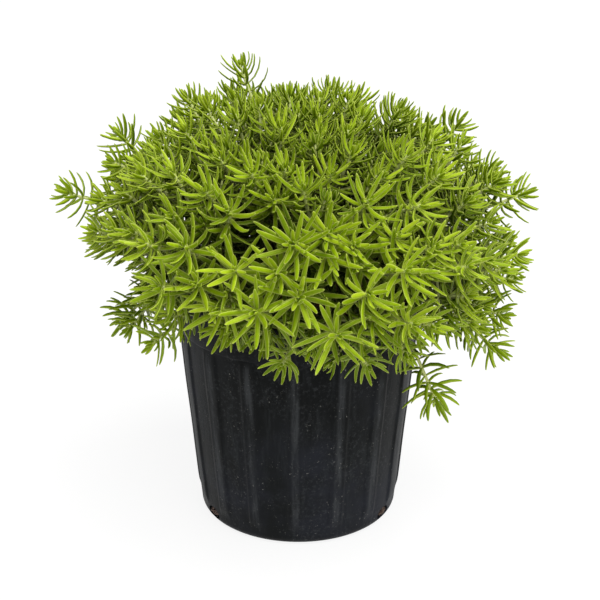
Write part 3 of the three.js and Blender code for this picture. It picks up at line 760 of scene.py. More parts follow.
def drain_frame(azimuth):
    """The middle of a drain hole, the way out through it, across it and up it."""
    middle = direction(azimuth, LEVEL) * wall_radius(DRAIN_HEIGHT) + UP * DRAIN_HEIGHT
    out = direction(azimuth, LEVEL + DRAIN_DROP)
    across = np.array([math.cos(azimuth), math.sin(azimuth), 0])
    return middle, out, across, np.cross(out, across)


def cutter(azimuth):
    middle, out, across, up = drain_frame(azimuth)
    points = []
    for end in (-0.5, 0.5):
        for turn in np.linspace(0, 2 * math.pi, DRAIN_SIDES, endpoint=False):
            rim = across * DRAIN_HALF_WIDTH * math.cos(turn) + up * DRAIN_HALF_HEIGHT * math.sin(turn)
            points.append(middle + out * end * DRAIN_LENGTH + rim)
    mesh = bpy.data.meshes.new("drain_cutter")
    mesh.from_pydata((np.array(points) * MM).tolist(), [], closed_faces(2, DRAIN_SIDES))
    mesh.materials.append(black_plastic.material)
    return put_in_scene("drain_cutter", mesh)


def closed_outward(obj):
    """Turns all faces of a closed mesh outwards."""
    work = bmesh.new()
    work.from_mesh(obj.data)
    bmesh.ops.recalc_face_normals(work, faces=work.faces)
    work.to_mesh(obj.data)
    work.free()


closed_outward(pot)
cutters = [cutter(azimuth) for azimuth in DRAIN_AZIMUTHS]
for tool in cutters:
    closed_outward(tool)
    cut = pot.modifiers.new("drain", "BOOLEAN")
    cut.operation, cut.solver, cut.object = "DIFFERENCE", "EXACT", tool
bpy.context.view_layer.update()
cut_mesh = bpy.data.meshes.new_from_object(pot.evaluated_get(bpy.context.evaluated_depsgraph_get()))
pot.modifiers.clear()
pot.data = cut_mesh
pot.data.set_sharp_from_angle(angle=POT_CREASE)
for tool in cutters:
    bpy.data.objects.remove(tool)
print("the pot with its drain holes has", len(pot.data.polygons), "faces")

# %% [markdown]
# ## The soil
#
# The pot is filled with a bark mix, dark and crumbly, with paler chips of bark and a few white grains of
# perlite. Only glimpses of it show between the stems and in the drain holes. A closed body with a rough
# surface stands for the fine crumb, and loose chips and grains lie half sunk in it.

# %% Rough the body of the soil
CLUMP_SPACING, CRUMB_SPACING = 9, 3.1
CLUMP_SHARE = 0.65
CRUMB_ON_TOP, CRUMB_AT_WALL = 3.4, 0.8
SOIL_COLUMNS = 180
SOIL_HEIGHTS = (9.9, 16, 30, 60, 90, 115, 130, 138, 143, 146)
SOIL_EDGE = 1.2
SOIL_RINGS = np.arange(76, 1, -2.2)


def crumb(point, size):
    """The height of the crumb at a point in millimetres."""
    coarse = noise.noise(Vector(point / CLUMP_SPACING))
    fine = noise.noise(Vector(point / CRUMB_SPACING))
    return size * (CLUMP_SHARE * coarse + (1 - CLUMP_SHARE) * fine)


soil_outline = [(foot - GAP, FLOOR + GAP)]
soil_outline += [(wall_radius(height) - WALL - GAP, height) for height in SOIL_HEIGHTS]
soil_outline += [(radius, SOIL_TOP) for radius in (wall_radius(SOIL_TOP) - WALL - SOIL_EDGE, *SOIL_RINGS)]
soil_points = []
for radius, height in soil_outline:
    for turn in np.linspace(0, 2 * math.pi, SOIL_COLUMNS, endpoint=False):
        spoke = direction(turn, LEVEL)
        point = spoke * radius + UP * height
        if height == SOIL_TOP:
            point = point + UP * crumb(point, CRUMB_ON_TOP)
        else:
            point = point - spoke * abs(crumb(point, CRUMB_AT_WALL))
        soil_points.append(point)
soil_faces = closed_faces(len(soil_outline), SOIL_COLUMNS)
print("the body of the soil has", len(soil_points), "points")

# %% Soil, bark and perlite finishes
soil_finish = Finish("potting_soil", IOR=1.4)
grain = noise_of(soil_finish, scale=420, detail=6, roughness=0.7)
clumps = noise_of(soil_finish, scale=110)
soil_colour = ramp(soil_finish, grain * 0.6 + clumps * 0.4, (0.3, screen(22, 14, 9)),
                   (0.5, screen(52, 34, 22)), (0.68, screen(96, 64, 42)))
dress(soil_finish, soil_colour, roughness=0.8 + grain * 0.2, height=grain + clumps, distance=0.0016)

bark_finish = Finish("bark_chip", IOR=1.4)
fibres = bark_finish.node("ShaderNodeMapping", {}, {"Vector": place_of(bark_finish), "Scale": (1, 0.25, 1)})
fibre = noise_of(bark_finish, scale=700, detail=4, roughness=0.6, vector=fibres)
bark_colour = ramp(bark_finish, fibre, (0.3, screen(58, 34, 20)), (0.7, screen(124, 82, 52)))
dress(bark_finish, bark_colour, roughness=0.7 + fibre * 0.2, height=fibre, distance=0.0006)

perlite_finish = Finish("perlite", IOR=1.5)
pores = noise_of(perlite_finish, scale=900)
perlite_colour = ramp(perlite_finish, pores, (0.3, screen(176, 168, 152)), (0.6, screen(226, 222, 212)))
dress(perlite_finish, perlite_colour, roughness=0.75 + pores * 0.2, height=pores, distance=0.0004)

make_piece("potting_soil", soil_points, soil_faces, [soil_finish], ["soil"], sharp=60)


# %% Chips and grains
def lump_template():
    """The points and faces of a ball of 42 points, to be squashed into chips and grains."""
    work = bmesh.new()
    bmesh.ops.create_icosphere(work, subdivisions=2, radius=1)
    points = np.array([vertex.co[:] for vertex in work.verts])
    faces = [tuple(vertex.index for vertex in face.verts) for face in work.faces]
    work.free()
    return points, faces


BALL_POINTS, BALL_FACES = lump_template()
LUMP_ROUGHNESS = 0.9
LUMP_WAVES = 1.7


def lump(centre, half_sizes, turn, tilt, number):
    """One lump: the ball made uneven, squashed to its half sizes, then turned and tilted."""
    own = Vector((number, 0, 0))
    uneven = np.array([1 + LUMP_ROUGHNESS * noise.noise(Vector(p * LUMP_WAVES) + own) for p in BALL_POINTS])
    shaped = BALL_POINTS * uneven[:, None] * half_sizes
    c, s = math.cos(tilt), math.sin(tilt)
    shaped = shaped @ np.array([[1, 0, 0], [0, c, s], [0, -s, c]])
    c, s = math.cos(turn), math.sin(turn)
    return shaped @ np.array([[c, s, 0], [-s, c, 0], [0, 0, 1]]) + centre


# %% Scatter them over the soil
CHIP_COUNT = 300
CHIP_SPREAD = 74
CHIP_RISE = 0.4
CHIP_TURN, CHIP_TILT = 6.3, 0.9
PERLITE_SHARE = 0.22
BARK = SimpleNamespace(smallest=2.2, growth=2.8, shape=np.array([1, 0.55, 0.3]), finish=0)
PERLITE = SimpleNamespace(smallest=1.1, growth=1.0, shape=np.array([1, 0.8, 0.75]), finish=1)
CHIP_OUT_STREAM, CHIP_AROUND_STREAM, CHIP_KIND_STREAM = 61, 62, 63
CHIP_SIZE_STREAM, CHIP_TURN_STREAM, CHIP_TILT_STREAM = 64, 65, 66

chip_points, chip_faces, chip_finishes = [], [], []
for i in range(CHIP_COUNT):
    out = CHIP_SPREAD * math.sqrt(draw(i, CHIP_OUT_STREAM))
    on_soil = direction(draw(i, CHIP_AROUND_STREAM) * 2 * math.pi, LEVEL) * out + UP * SOIL_TOP
    centre = on_soil + UP * (crumb(on_soil, CRUMB_ON_TOP) + CHIP_RISE)
    kind = PERLITE if draw(i, CHIP_KIND_STREAM) < PERLITE_SHARE else BARK
    size = kind.smallest + kind.growth * draw(i, CHIP_SIZE_STREAM)
    tilt = (draw(i, CHIP_TILT_STREAM) - 0.5) * CHIP_TILT
    start = len(chip_points) * len(BALL_POINTS)
    chip_points.append(lump(centre, size * kind.shape, draw(i, CHIP_TURN_STREAM) * CHIP_TURN, tilt, i))
    chip_faces += [tuple(start + corner for corner in face) for face in BALL_FACES]
    chip_finishes += [kind.finish] * len(BALL_FACES)
make_piece("bark_and_perlite", np.concatenate(chip_points), chip_faces, [bark_finish, perlite_finish],
           face_finishes=chip_finishes, sharp=45)
print("soil with", CHIP_COUNT, "chips and grains")

# %% [markdown]
# ## The leafy stems
#
# A lemon ball sedum's leaf is a fleshy needle: about 20 mm long and 2 to 3 mm wide, nearly flat on top,
# keeled below, widest a little before its middle, narrower at its foot and drawn to a point. The leaves
# stand in whorls of three or four round a pale stem, upright in the bud at the tip and spread nearly flat
# below it. Modelling one leaf and instancing it is the usual way, but the export drops instances, so one
# small grid of points is bent into every leaf of a stem at once with array sums. Leaves on twigs and far
# down a shoot, which little light reaches, use a simpler grid.

# %% The leaf's own form: rings along it and points round it
KEEL = 0.75


def leaf_form(places, widths, depths, across, above):
    """A grid of points for a leaf, with its faces.

    Places are shares of its length, and widths and depths are shares of the full leaf's. Across and above say
    where the points round each ring lie.
    """
    rings, around = len(places), len(across)
    faces = [tuple(reversed(face)) for face in ring_faces(rings, around)]
    foot_point, tip_point, last_ring = rings * around, rings * around + 1, (rings - 1) * around
    for corner in range(around):
        following = (corner + 1) % around
        faces.append((foot_point, corner, following))
        faces.append((tip_point, last_ring + following, last_ring + corner))
    numbers = [np.array(values) for values in (places, widths, depths, across, above)]
    return SimpleNamespace(faces=faces, points=rings * around + 2, rings=rings, around=around,
                           places=numbers[0], widths=numbers[1], depths=numbers[2],
                           across=numbers[3], above=numbers[4])


FULL_LEAF = leaf_form(places=(0, 0.12, 0.36, 0.62, 0.84, 0.95), widths=(0.48, 0.76, 1, 0.97, 0.72, 0.43),
                      depths=(0.8, 0.9, 1, 0.92, 0.75, 0.5), across=(1, 0, -1, -0.62, 0, 0.62),
                      above=(0.2, 0, 0.2, -0.45, -KEEL, -0.45))
INNER_LEAF = leaf_form(places=(0, 0.3, 0.7, 0.93), widths=(0.5, 0.95, 0.9, 0.4), depths=(0.7, 1, 0.9, 0.4),
                       across=(1, 0, -1, 0), above=(0, 0.3, 0, -0.8))
for name, form in (("a full leaf", FULL_LEAF), ("an inner leaf", INNER_LEAF)):
    print(name, "has", sum(len(face) - 2 for face in form.faces), "triangles")

# %% The whorls of a shoot and of a twig, from the tip down
# How far below the tip, how many leaves, their lean in degrees, their length
SHOOT_WHORLS = [
    (0.5, 3, 12, 6.0),
    (1.8, 3, 29, 12.0),
    (3.6, 3, 43, 17.5),
    (6.0, 4, 53, 21.5),
    (9.0, 4, 58, 23.5),
    (13.0, 4, 65, 25.0),
    (18.0, 4, 71, 25.0),
    (23.5, 3, 76, 24.0),
    (30.0, 4, 80, 22.5),
    (37.0, 3, 84, 20.0),
    (44.5, 3, 87, 18.0),
]
TWIG_WHORLS = [
    (0.5, 3, 20, 10),
    (4.0, 3, 44, 15),
    (9.0, 4, 60, 17),
    (15.0, 3, 72, 17),
    (22.0, 3, 80, 15),
]
BARE_FOOT = 12
INNER_BELOW = 36
print(sum(count for _, count, _, _ in SHOOT_WHORLS), "leaves on a long shoot")

# %% How a leaf's size, lean and width depend on its place in the dome
HALF_WIDTH, HALF_DEPTH = 1.38, 1.4
FRONT_GROWTH, FRONT_OPENING, FRONT_WIDENING = 0.22, 0.1, 0.16
FRONT_TURN = (40 * DEG, 62 * DEG)
HEM_SHRINK, HEM_NARROWING = 0.42, 0.24
HEM_SHRINK_TURN = (80 * DEG, 92 * DEG)
UPRIGHT_SHRINK, UPRIGHT_CLOSING, UPRIGHT_NARROWING, UPRIGHT_CURL = 0.14, 0.24, 0.26, 0.35
UPRIGHT_TURN = (20 * DEG, 70 * DEG)
# Painted shade: leaves lying low at the front are drawn as older, and so darker.
LOW_SHADE_AGE = 0.28
LOW_TURN = (82 * DEG, 100 * DEG)


def place_on_dome(shoot):
    """How far a shoot faces the front, hangs at its hem, stands upright or lies low, each from 0 to 1."""
    forwards = max(0, math.cos(shoot.azimuth)) ** 2
    return SimpleNamespace(
        forwards=forwards,
        in_front=forwards * float(smooth(shoot.polar, FRONT_TURN)),
        at_hem=forwards * float(smooth(shoot.polar, HEM_SHRINK_TURN)),
        upright=1 - float(smooth(shoot.polar, UPRIGHT_TURN)),
        low=forwards * float(smooth(shoot.polar, LOW_TURN)),
    )


# %% How leaves differ from one another
CURL = 50 * DEG
SIZE_OF_SHOOT, SIZE_OF_LEAF, CURL_OF_LEAF, WIDTH_OF_LEAF = (0.9, 1.06), (0.9, 1.1), (0.3, 1.5), (0.88, 1.12)
TURN_LOOSENESS, LEAN_LOOSENESS = 26 * DEG, 16 * DEG
SWAY, ROLL = 24 * DEG, 40 * DEG
BASE_WIDTH, BUD_WIDTH, TWIG_LEAF_WIDTH = 1.02, 0.62, 1.3
FULL_WIDTH_SIZE = 20
AGE_SPAN, AGED_BELOW = 0.9, 36
SHOOT_TONE = 0.4
VIGOUR_STREAM, TURN_STREAM, LEAN_STREAM, SIZE_STREAM, CURL_STREAM = 71, 72, 73, 74, 75
SWAY_STREAM, ROLL_STREAM, CHANCE_STREAM, WIDTH_STREAM, TONE_STREAM = 76, 77, 78, 79, 84


def between(limits, share):
    return limits[0] + (limits[1] - limits[0]) * share


# %% The numbers of every leaf on a shoot
COLUMNS = ("lean", "size", "curl", "sway", "roll", "width", "age", "chance", "inner")
FIRST_COLUMN = 9
LEAVES_NUMBERED, WHORL_NUMBERED = 64, 6
WHORL_PHASE = 0.13
CHORD = 2
NEARLY_UP = UP + np.array([0.01, 0.02, 0])


def column(name):
    return FIRST_COLUMN + COLUMNS.index(name)


def sideways(axis, turn):
    """A direction square to an axis, turned about it."""
    side = unit(np.cross(axis, NEARLY_UP))
    return side * math.cos(turn) + np.cross(axis, side) * math.sin(turn)


def leaves_of(shoot, whorls, oldest):
    """A row for each leaf: its foot, its shoot's axis and its way outward, then the columns named above."""
    length = step_of(shoot.path) * PATH_STEPS
    dome = place_on_dome(shoot)
    of_twig = whorls is TWIG_WHORLS
    vigour = 1 + FRONT_GROWTH * dome.in_front - HEM_SHRINK * dome.at_hem
    vigour *= between(SIZE_OF_SHOOT, draw(shoot.number, VIGOUR_STREAM))
    vigour *= 1 - UPRIGHT_SHRINK * max(dome.upright, 1 - dome.forwards)
    opening = 1 - UPRIGHT_CLOSING * dome.upright + FRONT_OPENING * dome.in_front
    breadth = BASE_WIDTH + FRONT_WIDENING * dome.in_front
    breadth -= HEM_NARROWING * dome.at_hem + UPRIGHT_NARROWING * dome.upright
    breadth *= TWIG_LEAF_WIDTH if of_twig else 1
    own_tone = draw(shoot.number, TONE_STREAM)
    rows = []
    for whorl, (below_tip, count, lean, size) in enumerate(whorls):
        if below_tip > length - BARE_FOOT:
            break
        at = length - below_tip
        axis = unit(place_at(shoot.path, at + CHORD) - place_at(shoot.path, at - CHORD))
        age = min(1, oldest - AGE_SPAN + AGE_SPAN * min(1, below_tip / AGED_BELOW) + LOW_SHADE_AGE * dome.low)
        for leaf in range(count):
            number = shoot.number * LEAVES_NUMBERED + whorl * WHORL_NUMBERED + leaf
            turn = (leaf / count + 0.5 * whorl / count + shoot.number * WHORL_PHASE) * 2 * math.pi
            turn += (draw(number, TURN_STREAM) - 0.5) * TURN_LOOSENESS
            outward = sideways(axis, turn)
            own_lean = lean * opening * DEG + (draw(number, LEAN_STREAM) - 0.5) * LEAN_LOOSENESS
            own_size = size * vigour * between(SIZE_OF_LEAF, draw(number, SIZE_STREAM))
            curl = CURL * between(CURL_OF_LEAF, draw(number, CURL_STREAM)) * (1 + UPRIGHT_CURL * dome.upright)
            sway = (draw(number, SWAY_STREAM) - 0.5) * SWAY
            roll = (draw(number, ROLL_STREAM) - 0.5) * ROLL
            width = (BUD_WIDTH + (1 - BUD_WIDTH) * min(1, size / FULL_WIDTH_SIZE)) * breadth
            width *= between(WIDTH_OF_LEAF, draw(number, WIDTH_STREAM))
            chance = (1 - SHOOT_TONE) * draw(number, CHANCE_STREAM) + SHOOT_TONE * own_tone
            inner = of_twig or below_tip > INNER_BELOW
            rows.append([*place_at(shoot.path, at), *axis, *outward,
                         own_lean, own_size, curl, sway, roll, width, age, chance, inner])
    return rows


# %% The middle line of every leaf, bent upwards along its length
def leaf_lines(rows, places):
    """For each leaf the places of its rings and its point, and two directions across each."""
    foot_place, axis, outward = rows[:, None, 0:3], rows[:, None, 3:6], rows[:, None, 6:9]
    lean, size, curl, sway, roll = (rows[:, None, None, column(name)] for name in COLUMNS[:5])
    places = np.append(places, 1.0)[None, :, None]
    beside = np.cross(axis, outward)
    angle = lean + curl * (0.5 - places)
    swing = sway * places
    flat = outward * np.cos(swing) + beside * np.sin(swing)
    along = axis * np.cos(angle) + flat * np.sin(angle)
    steps = np.diff(places, axis=1, prepend=0)
    middle_along = along.copy()
    middle_along[:, 1:] = 0.5 * (along[:, 1:] + along[:, :-1])
    line = foot_place + size * np.cumsum(middle_along * steps, axis=1)
    above = axis * np.sin(angle) - flat * np.cos(angle)
    across = np.cross(along, above)
    turned_above = above * np.cos(roll) + across * np.sin(roll)
    return line, turned_above, np.cross(along, turned_above)


# %% Leaves that would run into the pot lean in instead, or are left out
LEAN_IN = 9 * DEG
LEAST_LEAN = 4 * DEG
LEAN_TRIES = 6
SHORTER = 0.94
POT_ROOM = 1.9


def clear_of_pot(points):
    """Whether all the points of a path, or of each leaf, keep clear of the pot and the soil."""
    r = np.hypot(points[..., 0], points[..., 1])
    height = points[..., 2]
    wall = wall_radius(height)
    over = height > POT_HEIGHT + POT_ROOM
    within = (r < wall - WALL - POT_ROOM) & (height > SOIL_TOP + POT_ROOM)
    return (over | within | (r > wall + BAND_STEP + POT_ROOM)).all(axis=-1)


def fitted_leaves(rows):
    """The leaves that clear the pot. The others lean in and grow shorter, a few times over, until they do."""
    kept = []
    for _ in range(LEAN_TRIES):
        clear = clear_of_pot(leaf_lines(rows, FULL_LEAF.places)[0])
        kept.append(rows[clear])
        rows = rows[~clear]
        rows[:, column("lean")] = np.maximum(rows[:, column("lean")] - LEAN_IN, LEAST_LEAN)
        rows[:, column("size")] *= SHORTER
    return np.concatenate(kept)


# %% How deep inside the dome a point lies
# The finishes paint shade by this depth: points deeper inside the dome are drawn darker.
DARK_DEPTH = (-4, 42)
HANGING = (96 * DEG, 112 * DEG)


def depth_in_dome(points):
    """From 0 at the dome's outside to 1 deep inside it."""
    away = points - CROWN_CENTRE
    out = np.linalg.norm(away, axis=1)
    azimuth = np.arctan2(away[:, 0], -away[:, 1])
    polar = np.arccos(np.clip(away[:, 2] / out, -1, 1))
    return smooth(reach_of(azimuth, polar) - out, DARK_DEPTH) * (1 - smooth(polar, HANGING))


# %% The skin of the leaves
EDGE_SHARPNESS = 3


def leaf_skin(rows, form):
    """Points of all the leaves of one form, and what the finish needs to know at each point."""
    line, above, across = leaf_lines(rows, form.places)
    width = rows[:, None, None, None, column("width")] * HALF_WIDTH
    wide = form.widths[None, :, None, None] * form.across[None, None, :, None] * width
    deep = form.depths[None, :, None, None] * form.above[None, None, :, None] * width
    deep = deep * HALF_DEPTH / HALF_WIDTH
    rings = line[:, :-1, None] + across[:, :-1, None] * wide + above[:, :-1, None] * deep
    count = len(rows)
    ends = np.stack([line[:, 0], line[:, -1]], axis=1)
    points = np.concatenate([rings.reshape(count, -1, 3), ends], axis=1)
    along = np.concatenate([np.repeat(form.places, form.around), [0, 1]])
    edge = np.concatenate([np.tile(np.abs(form.across) ** EDGE_SHARPNESS, form.rings), [0, 1]])
    # Painted shade: how far a point lies on the leaf's underside, which the finish draws darker
    under = np.concatenate([np.tile(np.clip(-form.above / KEEL, 0, 1), form.rings), [0.5, 0.5]])
    values = {
        "leaf_along": np.tile(along, count),
        "leaf_edge": np.tile(edge, count),
        "leaf_under": np.tile(under, count),
        "shoot_age": np.repeat(rows[:, column("age")], form.points),
        "leaf_chance": np.repeat(rows[:, column("chance")], form.points),
        "dome_depth": depth_in_dome(points.reshape(-1, 3)),
    }
    starts = range(0, count * form.points, form.points)
    faces = [tuple(start + corner for corner in face) for start in starts for face in form.faces]
    return points.reshape(-1, 3), faces, values


# %% [markdown]
# ### The stems under the leaves
#
# A main stem is a round tube 3 mm thick near the soil that thins to 1.8 mm at its tip. It follows the
# shoot's path, and a side shoot starts inside the stem that it leaves, so the fork has no seam. Short twigs
# fill the inside of the dome, as they do on the real plant: they leave a stem below its leafy end and reach
# outwards and up. At the left and right only those that end well inside the dome are kept, so that the
# outline stays loose.

# %% A tube along a path
STEM_FOOT_RADIUS = 1.5
STEM_TIP_RADIUS = 0.9
TAPER_LENGTH = 110
AGED_STEM = 130
FIRST_SIDE = np.array([0.31, 0.95, 0.05])


def stem_skin(path, thickness, sides, stride):
    """The points, faces and ages of the tube round one path, with a ring at every stride of its steps."""
    line = np.concatenate([path[:-1:stride], path[-1:]])
    directions = np.gradient(line, axis=0)
    steps = np.linalg.norm(np.diff(line, axis=0), axis=1)
    below_tips = np.append(np.cumsum(steps[::-1])[::-1], 0)
    side = np.cross(directions[0], FIRST_SIDE)
    points, ages = [], []
    for place, way, below_tip in zip(line, directions, below_tips):
        way = unit(way)
        side = unit(side - way * (side @ way))
        other = np.cross(way, side)
        full_radius = between((STEM_TIP_RADIUS, STEM_FOOT_RADIUS), min(1, below_tip / TAPER_LENGTH))
        for turn in np.linspace(0, 2 * math.pi, sides, endpoint=False):
            spoke = side * math.cos(turn) + other * math.sin(turn)
            points.append(place + spoke * thickness * full_radius)
            ages.append(min(1, below_tip / AGED_STEM))
    return np.array(points), closed_faces(len(line), sides), np.array(ages)


# %% Twigs that fill the inside of the dome
TWIG_PLACES = (30, 41, 53, 66, 81, 98)
TWIG_SHARE = 0.92
TWIG_DEPTH = 0.4
TWIG_LENGTH = 31
TWIG_SIZES = (0.8, 1.2)
TWIG_FORK = 52 * DEG
TWIG_AHEAD, TWIG_UP = 0.5, 0.3
TWIG_PULL = 0.35
TWIG_POLAR = 40 * DEG
FIRST_TWIG_NUMBER = 1000
TWIG_STREAM, TWIG_TURN_STREAM, TWIG_SIZE_STREAM = 81, 82, 83


def twigs_of(shoot):
    """Short shoots that leave a longer one below its leafy end."""
    length = step_of(shoot.path) * PATH_STEPS
    twigs = []
    for k, below_tip in enumerate(TWIG_PLACES):
        number = FIRST_TWIG_NUMBER + shoot.number * len(TWIG_PLACES) + k
        if below_tip > length - BARE_FOOT or draw(number, TWIG_STREAM) > TWIG_SHARE:
            continue
        start = place_at(shoot.path, length - below_tip)
        axis = unit(place_at(shoot.path, length - below_tip + CHORD) - start)
        turn = draw(number, TWIG_TURN_STREAM) * 2 * math.pi
        first = axis * math.cos(TWIG_FORK) + sideways(axis, turn) * math.sin(TWIG_FORK)
        size = TWIG_LENGTH * between(TWIG_SIZES, draw(number, TWIG_SIZE_STREAM))
        last = unit(first + axis * TWIG_AHEAD + UP * TWIG_UP)
        tip = start + unit(first + last) * size
        path = even_path(start, start + first * TWIG_PULL * size, tip - last * TWIG_PULL * size, tip)
        hidden = depth_in_dome(path[-1:])[0] > TWIG_DEPTH * math.sin(shoot.azimuth) ** 2
        if clear_of_pot(path) and hidden:
            twigs.append(SimpleNamespace(number=number, path=path, azimuth=shoot.azimuth, polar=TWIG_POLAR))
    return twigs


# %% [markdown]
# ### Their finishes
#
# The leaves are yellow-green and a little glossy. Young ones at the tips are paler and yellower, old ones
# are deeper green, and a few old leaves have begun to fade. Painted shade makes the undersides darker and
# the leaves deep inside the dome nearly black-green. Each leaf has a painted highlight along both edges, a
# pale foot and a pale point, which is partly painted highlight, and no two leaves have quite the same
# colour. The stems are pale green near the tips and brown near the soil, with painted shade inside the dome.

# %% Leaf
leaf_finish = Finish("sedum_leaf", IOR=1.42, Specular_IOR_Level=0.2)
along, edge = on_mesh(leaf_finish, "leaf_along"), on_mesh(leaf_finish, "leaf_edge")
age, chance = on_mesh(leaf_finish, "shoot_age"), on_mesh(leaf_finish, "leaf_chance")
under, depth = on_mesh(leaf_finish, "leaf_under"), on_mesh(leaf_finish, "dome_depth")
mottle = noise_of(leaf_finish, scale=340)
tone = age * 0.5 + chance * 0.42 + mottle * 0.14
green = ramp(leaf_finish, tone, (0.1, screen(182, 206, 40)), (0.36, screen(148, 176, 12)),
             (0.62, screen(106, 134, 2)), (0.95, screen(66, 90, 1)))
point_of_leaf = step_of_value(leaf_finish, along, 0.9, 1.0)
foot_of_leaf = step_of_value(leaf_finish, along, 0.22, 0.0)
# Painted highlight along both edges and at the point, which is partly the leaf's paler tip; the pale foot is
# its own.
rim = step_of_value(leaf_finish, edge, 0.5, 1.0)
pale = rim * 0.5 + point_of_leaf * 0.35 + foot_of_leaf * 0.35
green = mix(leaf_finish, pale, green, screen(234, 240, 132))
# Painted shade: the undersides are drawn darker.
green = mix(leaf_finish, under * 0.5, green, screen(54, 76, 4))
# Painted shade: leaves deep inside the dome are drawn nearly black-green.
green = mix(leaf_finish, depth * 0.8, green, screen(22, 36, 0))
dry = step_of_value(leaf_finish, chance, 0.83, 0.87) * step_of_value(leaf_finish, age, 0.6, 0.85)
green = mix(leaf_finish, dry, green, screen(116, 124, 44))
skin = noise_of(leaf_finish, scale=1300, detail=2)
dress(leaf_finish, green, roughness=0.26 + mottle * 0.18 + age * 0.1,
      height=skin * 0.4 + mottle * 0.6, distance=0.00025)
print("the leaf's finish has", len(leaf_finish.tree.nodes), "nodes")

# %% Stem
stem_finish = Finish("sedum_stem", IOR=1.42, Specular_IOR_Level=0.3)
down = on_mesh(stem_finish, "shoot_age")
scars = noise_of(stem_finish, scale=520)
stem_colour = ramp(stem_finish, down + (scars - 0.5) * 0.2, (0.05, screen(212, 220, 146)),
                   (0.4, screen(164, 170, 96)), (0.95, screen(84, 66, 38)))
shaded = on_mesh(stem_finish, "dome_depth") * 0.6
stem_colour = mix(stem_finish, shaded, stem_colour, screen(34, 34, 14))
dress(stem_finish, stem_colour, roughness=0.5 + scars * 0.2, height=scars, distance=0.0004)

# %% A bundle of skins that grows into one mesh
POINT_VALUES = ("leaf_along", "leaf_edge", "leaf_under", "shoot_age", "leaf_chance", "dome_depth")


class Bundle:
    """Skins that end up in one mesh, with their faces, their values and which finish each face has."""

    def __init__(self):
        self.points, self.faces, self.face_finishes = [], [], []
        self.values = {name: [] for name in POINT_VALUES}
        self.count = 0

    def add(self, points, faces, values, finish_number):
        self.faces += [tuple(self.count + corner for corner in face) for face in faces]
        self.face_finishes += [finish_number] * len(faces)
        self.points.append(points)
        for name, parts in self.values.items():
            parts.append(values.get(name, np.zeros(len(points))))
        self.count += len(points)


# %% Grow every leafy stem
LEAF_NUMBER, STEM_NUMBER = 0, 1
# Leaves on the inner twigs get the oldest, darkest tones, partly from their real age, partly as painted
# shade.
SHOOT_AGE, TWIG_AGE = 0.9, 1.3
TWIG_WOOD_AGE = 0.2
leaf_total = 0
for number, stem in enumerate(stems, 1):
    bundle, rows = Bundle(), []
    for shoot in [stem.main, *stem.main.children]:
        foot_in_soil = [stem.root - UP * (HOLE_DEPTH - GAP)] if shoot is stem.main else []
        path = np.array([*foot_in_soil, *shoot.path])
        skin, faces, ages = stem_skin(path, thickness=1.0, sides=7, stride=2)
        bundle.add(skin, faces, {"shoot_age": ages, "dome_depth": depth_in_dome(skin)}, STEM_NUMBER)
        rows += leaves_of(shoot, SHOOT_WHORLS, SHOOT_AGE)
        for twig in twigs_of(shoot):
            skin, faces, ages = stem_skin(twig.path, thickness=0.8, sides=5, stride=8)
            values = {"shoot_age": ages + TWIG_WOOD_AGE, "dome_depth": depth_in_dome(skin)}
            bundle.add(skin, faces, values, STEM_NUMBER)
            rows += leaves_of(twig, TWIG_WHORLS, TWIG_AGE)
    rows = fitted_leaves(np.array(rows))
    leaf_total += len(rows)
    inner = rows[:, column("inner")] == 1
    for form, chosen in ((FULL_LEAF, rows[~inner]), (INNER_LEAF, rows[inner])):
        bundle.add(*leaf_skin(chosen, form), LEAF_NUMBER)
    node = f"leafy_stem_{number:02d}"
    values = {name: np.concatenate(parts) for name, parts in bundle.values.items()}
    make_piece(f"fine_{node}", np.concatenate(bundle.points), bundle.faces, [leaf_finish, stem_finish],
               [node], values, bundle.face_finishes)
print(leaf_total, "leaves;", triangle_count, "triangles in the pieces so far")

# %% [markdown]
# ## Roots in the drain holes
#
# A plant that fills its pot pushes fine roots out of the soil at the drain holes. Each root is a thin tube
# that leaves the soil, bows out through the hole and goes back into the soil beside it.

# %% Fine roots
ROOTS_A_HOLE = 14
ROOT_THICKNESS = 0.34
ROOT_DEPTH = 5.2
ROOT_END, ROOT_PULL = 0.8, 0.7
ROOT_PULL_TURN = 0.5
ROOT_SCATTER = 2.4
ROOT_BOW = (-1.8, 1.2)
ROOT_TURN_STREAM, ROOT_FAR_STREAM, ROOT_BOW_STREAM = 91, 92, 93
root_finish = Finish("fine_root", IOR=1.4, Specular_IOR_Level=0.3)
root_fibre = noise_of(root_finish, scale=600)
root_colour = ramp(root_finish, root_fibre, (0.35, screen(42, 28, 26)), (0.65, screen(118, 100, 90)))
dress(root_finish, root_colour, roughness=0.65 + root_fibre * 0.2, height=root_fibre, distance=0.0002)


def place_in_hole(azimuth, turn, share, depth):
    """A place behind a drain hole, at a share of the way from its middle to its edge."""
    middle, out, across, up = drain_frame(azimuth)
    beside = across * DRAIN_HALF_WIDTH * math.cos(turn) + up * DRAIN_HALF_HEIGHT * math.sin(turn)
    return middle + beside * share - out * depth


